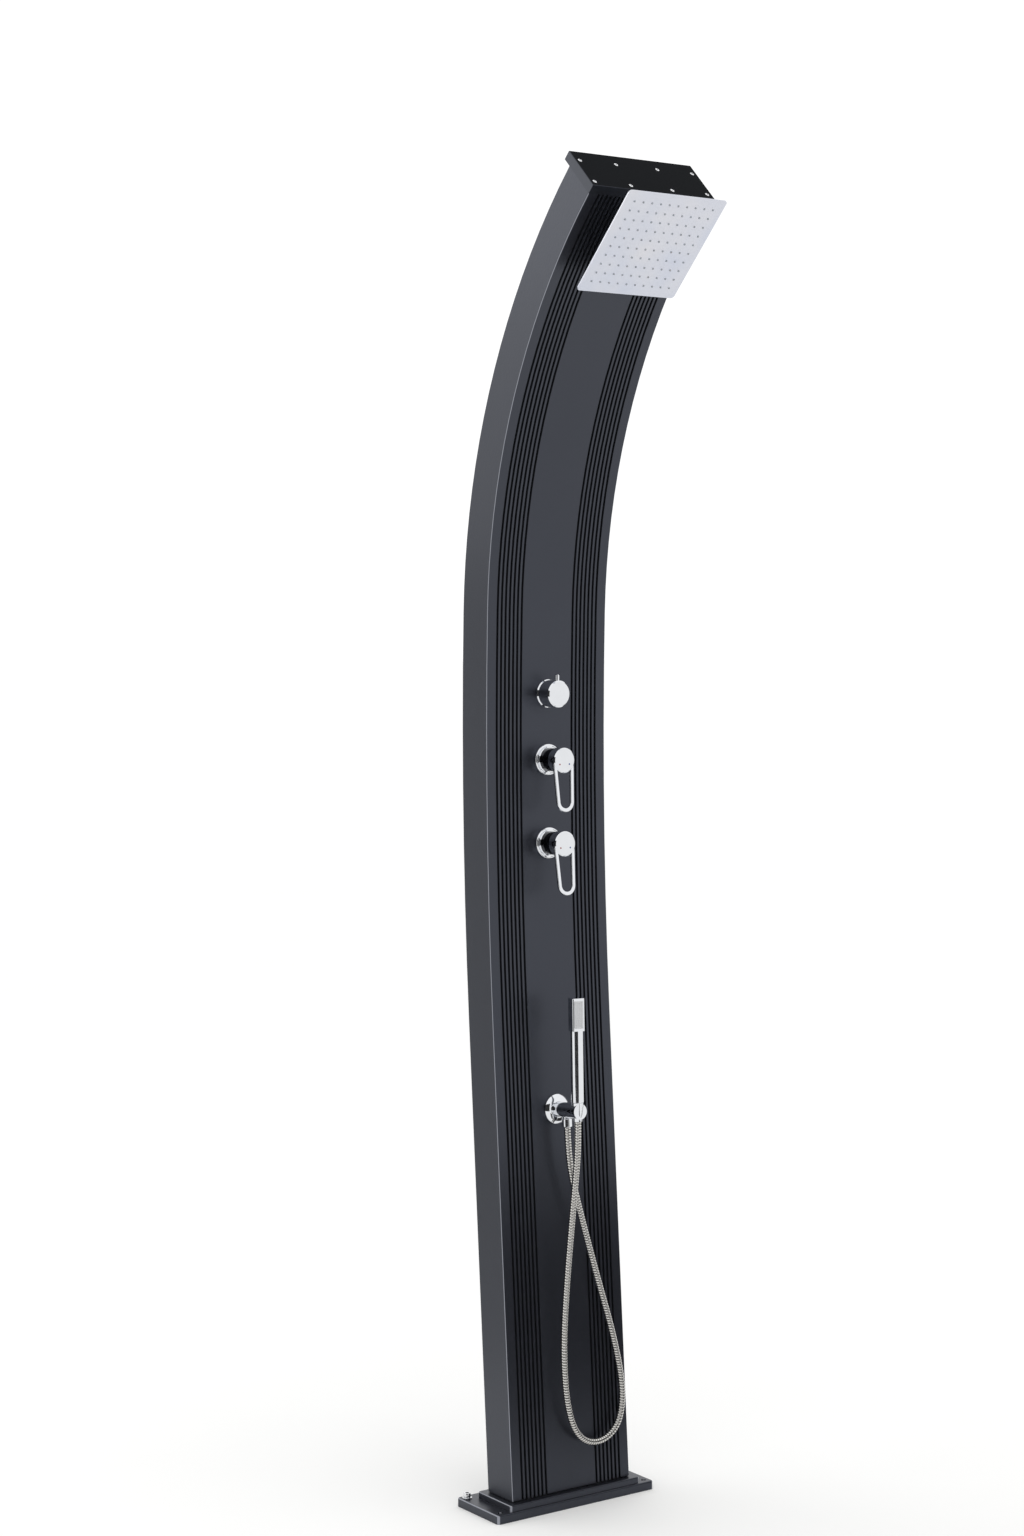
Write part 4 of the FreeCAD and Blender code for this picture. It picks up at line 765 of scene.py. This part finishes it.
class SHOWER_OT_set_stage(bpy.types.Operator):
    """Sets up the camera, the soft light, the dark cards and the pale floor"""
    bl_idname = "shower.set_stage"
    bl_label = "Set Stage"

    def execute(self, context):
        scene = context.scene
        studio = scene.shower_studio
        camera = bpy.data.cameras.new("camera")
        camera.sensor_fit = "VERTICAL"
        camera.sensor_height = FILM_HEIGHT
        camera.lens = studio.lens
        camera.clip_end = studio.floor_side
        eye = new_piece("camera", camera)
        eye.location = studio.camera_place
        eye.rotation_euler = (math.pi / 2 - studio.camera_dip, 0, -studio.camera_heading)
        scene.camera = eye
        scene.view_settings.view_transform = "Standard"

        world = bpy.data.worlds.new("white_surround")
        world.use_nodes = True
        surround = world.node_tree.nodes["Background"].inputs
        surround["Color"].default_value = (1, 1, 1, 1)
        surround["Strength"].default_value = studio.sky
        scene.world = world

        floor = flat_sheet("studio_floor", studio.floor_side, studio.floor_side, studio_floor(scene))

        self.soft_box("side_box", *SIDE_BOX, studio.side_power)
        for name, setting in DARK_CARDS.items():
            self.dark_card(name, *setting)
        return {"FINISHED"}

    @staticmethod
    def aim(piece, place, target):
        piece.location = place
        piece.rotation_euler = (Vector(target) - Vector(place)).to_track_quat("-Z", "Y").to_euler()

    def soft_box(self, name, place, target, size, power):
        light = bpy.data.lights.new(name, "AREA")
        light.shape = "RECTANGLE"
        light.size, light.size_y = size
        light.energy = power
        lamp = new_piece(name, light)
        self.aim(lamp, place, target)
        lamp.visible_camera = False

    def dark_card(self, name, place, target, size):
        """A dark card that only reflections see, so that polished pieces have something dark to mirror."""
        card = flat_sheet(name, *size, finish(bpy.context.scene, "rubber"))
        self.aim(card, place, target)
        card.visible_camera = False
        card.visible_diffuse = False
        card.visible_shadow = False


class SHOWER_OT_make_hose(bpy.types.Operator):
    """Makes the ribbed metal hose between the outlet and the handset"""
    bl_idname = "shower.make_hose"
    bl_label = "Make Hose"

    def execute(self, context):
        scene = context.scene
        sizes = scene.shower_hose
        curve = bpy.data.curves.new("hose_route", "CURVE")
        curve.dimensions = "3D"
        spline = curve.splines.new("NURBS")
        spline.points.add(len(HOSE_ROUTE) - 1)
        for point, place in zip(spline.points, HOSE_ROUTE):
            point.co = (*place, 1)
        spline.order_u = 3
        spline.use_endpoint_u = True
        route = new_piece("hose_route", curve)
        graph = context.evaluated_depsgraph_get()
        line = bpy.data.meshes.new_from_object(route.evaluated_get(graph))
        bpy.data.objects.remove(route)
        path = [vertex.co.copy() for vertex in line.vertices]

        hose = new_piece("ribbed_hose", line)
        grow(hose, hose_tree(), {
            "Ribs": sizes.ribs, "Rings": sizes.rings, "Sides": sizes.sides, "Crest": sizes.diameter / 2,
            "Valley": sizes.valley / 2, "Bore": sizes.bore / 2, "Material": hose_stainless_steel(scene)})
        self.close_ends(hose.data, path)
        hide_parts("hose")
        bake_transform(hose)
        # The two legs of the loop hang side by side. The share along the hose's length is read back here and not
        # used further.
        along = np.zeros(len(hose.data.vertices), np.float32)
        hose.data.attributes["along"].data.foreach_get("value", along)
        return {"FINISHED"}

    @staticmethod
    def close_ends(mesh, path):
        """Joins the skin to the bore at both ends, so that the wall is closed."""
        # Open edges this near an end of the hose belong to it.
        reach = 0.02
        shape = bmesh.new()
        shape.from_mesh(mesh)
        open_edges = [edge for edge in shape.edges if edge.is_boundary]
        for end in (path[0], path[-1]):
            near = [edge for edge in open_edges if (edge.verts[0].co - end).length < reach]
            bmesh.ops.bridge_loops(shape, edges=near)
        bmesh.ops.recalc_face_normals(shape, faces=shape.faces)
        if shape.calc_volume(signed=True) < 0:
            bmesh.ops.reverse_faces(shape, faces=shape.faces)
        shape.to_mesh(mesh)
        shape.free()


class SHOWER_OT_coat_column(bpy.types.Operator):
    """Coats the column, the foot plate and the cap, and finishes the gasket"""
    bl_idname = "shower.coat_column"
    bl_label = "Coat Column"

    def execute(self, context):
        finish_nodes(context.scene, {"graphite_aluminium", "black_aluminium", "rubber"})
        return {"FINISHED"}


class SHOWER_OT_plate_fittings(bpy.types.Operator):
    """Plates the knob, levers, flanges, outlet, holder and handset"""
    bl_idname = "shower.plate_fittings"
    bl_label = "Plate Fittings"

    def execute(self, context):
        finish_nodes(context.scene, {"chrome", "dark_chrome", "screw_steel"})
        return {"FINISHED"}


class SHOWER_OT_finish_waterways(bpy.types.Operator):
    """Finishes the valves, elbows and pipes inside the column"""
    bl_idname = "shower.finish_waterways"
    bl_label = "Finish Waterways"

    def execute(self, context):
        finish_nodes(context.scene, {"brass", "copper_pipe", "ball_plastic"})
        return {"FINISHED"}


class SHOWER_OT_make_rain_head(bpy.types.Operator):
    """Finishes the rain head and makes its mat of nozzles"""
    bl_idname = "shower.make_rain_head"
    bl_label = "Make Rain Head"

    def execute(self, context):
        scene = context.scene
        sizes = scene.shower_rain_head
        finish_nodes(scene, {"steel"})
        root = -sizes.mat_thickness / 2
        bottom = sizes.reach * 0.55
        tip = turned_mesh("nozzle", [
            (sizes.radius, root), *scaled(RAIN_NOZZLE, sizes.radius, sizes.reach),
            (sizes.outlet, sizes.reach), (sizes.outlet, bottom)], sides=10)
        smooth_by_angle(tip, degrees=40)
        shape = new_piece("nozzle", tip)
        side = sizes.width - 2 * sizes.border
        sheet = rounded_plate(
            "rain_nozzles", side, side, -sizes.mat_thickness, 0, sizes.corner, sizes.ease)
        field = new_piece("rain_nozzles", sheet)
        span = sizes.width - 2 * sizes.margin
        grow(field, grid_tree(), {
            "Columns": sizes.rows, "Rows": sizes.rows, "Width": span, "Height": span, "Shape": shape,
            "Material": finish(scene, "silicone")})
        bpy.data.objects.remove(shape)
        ball = joint_frame(JOINTS["head_roll"], up=True)
        field.data.transform(ball @ Matrix.Translation((0, 0, sizes.mat_top)))
        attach(field, "rain_head")
        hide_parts("nozzle_mat")
        return {"FINISHED"}


class SHOWER_OT_make_screws(bpy.types.Operator):
    """Makes the countersunk screws of the cap and the foot"""
    bl_idname = "shower.make_screws"
    bl_label = "Make Screws"

    def execute(self, context):
        scene = context.scene
        sizes = scene.shower_fasteners
        tree = seat_tree()
        for node in ("cap_screws", "foot_screws"):
            seats = [screw_seat(solid) for solid in solids_of(NODES[node])]
            axis, _, length, radius = seats[0]
            z = Vector(axis)
            turned = Matrix((RIGHT, z.cross(RIGHT), z)).transposed().to_4x4()

            def socket(turn):
                return sizes.socket + sizes.lobe * math.cos(sizes.lobes * turn)

            point = sizes.shank * 0.4
            screw = turned_mesh("screw", [
                (point, -length), (sizes.shank, -length + sizes.shank), (sizes.shank, -sizes.head),
                (radius, -sizes.rim), *scaled(SCREW_CROWN, radius, sizes.dome),
                (socket, sizes.dome), (socket, sizes.dome - sizes.socket_depth)], sides=24)
            smooth_by_angle(screw, degrees=35)
            shape = new_piece("screw", screw)
            mesh = bpy.data.meshes.new(node + "_driven")
            back = turned.inverted()
            mesh.from_pydata([back @ Vector(seat[1]) for seat in seats], [], [])
            piece = new_piece(node + "_driven", mesh)
            grow(piece, tree, {"Shape": shape, "Material": finish(scene, "screw_steel")})
            bpy.data.objects.remove(shape)
            piece.data.transform(turned)
            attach(piece, "column_assembly")
            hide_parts(node)
        return {"FINISHED"}


class SHOWER_OT_make_anchor_bolt(bpy.types.Operator):
    """Makes the bolt in the foot plate's back left anchor hole"""
    bl_idname = "shower.make_anchor_bolt"
    bl_label = "Make Anchor Bolt"

    def execute(self, context):
        scene = context.scene
        sizes = scene.shower_fasteners
        low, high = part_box("foot_plate")
        # The mount lies halfway through the plate.
        plate_top = MOUNTS["anchor_holes"]["pos_m"][2] * 2

        def hexagon(turn):
            return sizes.key / math.cos(turn % (math.pi / 3) - math.pi / 6)

        base = sizes.washer_height
        top = base + sizes.bolt_height
        socket_floor = base + sizes.bolt_height * 0.3
        shaft_top = base * 0.9
        washer = turned_mesh("washer", [
            (sizes.shaft, 0), *scaled(WASHER_RIM, sizes.washer, sizes.washer_height),
            (sizes.shaft, sizes.washer_height)], sides=36)
        head = turned_mesh("head", [
            *scaled(BOLT_HEAD, sizes.bolt, sizes.bolt_height, base),
            (hexagon, top), (hexagon, socket_floor)], sides=36)
        shaft = turned_mesh("shaft", [
            *scaled(BOLT_TIP, sizes.shaft, plate_top), (sizes.shaft, shaft_top)], sides=36)
        shape = bmesh.new()
        for part in (washer, head, shaft):
            shape.from_mesh(part)
        mesh = bpy.data.meshes.new("anchor_bolt")
        shape.to_mesh(mesh)
        shape.free()
        mesh.transform(Matrix.Translation((low.x + sizes.inset, high.y - sizes.inset, plate_top)))
        smooth_by_angle(mesh, degrees=32)
        mesh.materials.append(finish(scene, "screw_steel"))
        bolt = new_piece("anchor_bolt", mesh)
        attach(bolt, "column_assembly")
        return {"FINISHED"}


class SHOWER_OT_mark_levers(bpy.types.Operator):
    """Puts the hot and cold marks on the lever caps"""
    bl_idname = "shower.mark_levers"
    bl_label = "Mark Levers"

    def execute(self, context):
        scene = context.scene
        sizes, colours = scene.shower_levers, scene.shower_colours
        marks = {
            "hot": (-sizes.side, enamel("hot_enamel", colours.hot)),
            "cold": (sizes.side, enamel("cold_enamel", colours.cold)),
        }
        for mixer in ("upper", "lower"):
            face = joint_frame(JOINTS[mixer + "_turn"])
            for name, (side, material) in marks.items():
                outline = scaled(LEVER_MARK, sizes.radius, sizes.rise)
                mesh = turned_mesh(f"{mixer}_{name}_mark", outline, sides=20)
                mesh.transform(face @ Matrix.Translation((side, -sizes.drop, sizes.face)))
                smooth_by_angle(mesh, degrees=60)
                mesh.materials.append(material)
                mark = new_piece(f"{mixer}_{name}_mark", mesh)
                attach(mark, mixer + "_lever")
        return {"FINISHED"}


class SHOWER_OT_make_spray_plate(bpy.types.Operator):
    """Makes the handset's spray plate with its rows of nozzles"""
    bl_idname = "shower.make_spray_plate"
    bl_label = "Make Spray Plate"

    def execute(self, context):
        scene = context.scene
        sizes = scene.shower_handset
        nub = turned_mesh("spray_nub", scaled(SPRAY_NUB, sizes.nub, sizes.nub), sides=8)
        smooth_by_angle(nub, degrees=50)
        shape = new_piece("spray_nub", nub)
        plate = rounded_plate(
            "spray_plate", sizes.width, sizes.height, -sizes.thickness, 0, sizes.corner, sizes.ease)
        piece = new_piece("spray_plate", plate)
        step = sizes.height / (sizes.rows + 1)
        column = sizes.width / (sizes.columns + 1)
        grow(piece, grid_tree(), {
            "Columns": sizes.columns, "Rows": sizes.rows, "Width": column * (sizes.columns - 1),
            "Height": step * (sizes.rows - 1), "Shape": shape, "Material": finish(scene, "spray_plastic")})
        bpy.data.objects.remove(shape)
        seat = joint_frame(JOINTS["handset_swivel"])
        upright = Matrix.Rotation(math.pi / 2, 4, "X")
        turned = Matrix.Rotation(sizes.turn, 4, "Z")
        place = Matrix.Translation((0, -sizes.front, sizes.middle))
        piece.data.transform(seat @ turned @ place @ upright)
        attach(piece, "handset")
        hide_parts("spray_face")
        return {"FINISHED"}


class SHOWER_PT_dress(bpy.types.Panel):
    """Lists the steps that dress the shower"""
    bl_idname = "SHOWER_PT_dress"
    bl_label = "Outdoor Shower"
    bl_space_type = "VIEW_3D"
    bl_region_type = "UI"
    bl_category = "Shower"

    def draw(self, context):
        for step in STEPS:
            self.layout.operator(step.bl_idname)
        for name in GROUPS:
            box = self.layout.box()
            sizes = getattr(context.scene, name)
            for label in sizes.__annotations__:
                box.prop(sizes, label)


GROUPS = {
    "shower_hose": ShowerHose,
    "shower_rain_head": ShowerRainHead,
    "shower_fasteners": ShowerFasteners,
    "shower_handset": ShowerHandset,
    "shower_levers": ShowerLevers,
    "shower_grooves": ShowerGrooves,
    "shower_colours": ShowerColours,
    "shower_studio": ShowerStudio,
}
STEPS = [
    SHOWER_OT_set_stage,
    SHOWER_OT_make_hose,
    SHOWER_OT_coat_column,
    SHOWER_OT_plate_fittings,
    SHOWER_OT_finish_waterways,
    SHOWER_OT_make_rain_head,
    SHOWER_OT_make_screws,
    SHOWER_OT_make_anchor_bolt,
    SHOWER_OT_mark_levers,
    SHOWER_OT_make_spray_plate,
]


def register():
    for kind in (*GROUPS.values(), *STEPS, SHOWER_PT_dress):
        bpy.utils.register_class(kind)
    for name, kind in GROUPS.items():
        setattr(bpy.types.Scene, name, bpy.props.PointerProperty(type=kind))


def unregister():
    for name in GROUPS:
        delattr(bpy.types.Scene, name)
    for kind in (SHOWER_PT_dress, *reversed(STEPS), *reversed(GROUPS.values())):
        bpy.utils.unregister_class(kind)


def main():
    register()
    bpy.ops.shower.set_stage()
    bpy.ops.shower.make_hose()
    bpy.ops.shower.coat_column()
    bpy.ops.shower.plate_fittings()
    bpy.ops.shower.finish_waterways()
    bpy.ops.shower.make_rain_head()
    bpy.ops.shower.make_screws()
    bpy.ops.shower.make_anchor_bolt()
    bpy.ops.shower.mark_levers()
    bpy.ops.shower.make_spray_plate()


if __name__ == "__main__":
    main()
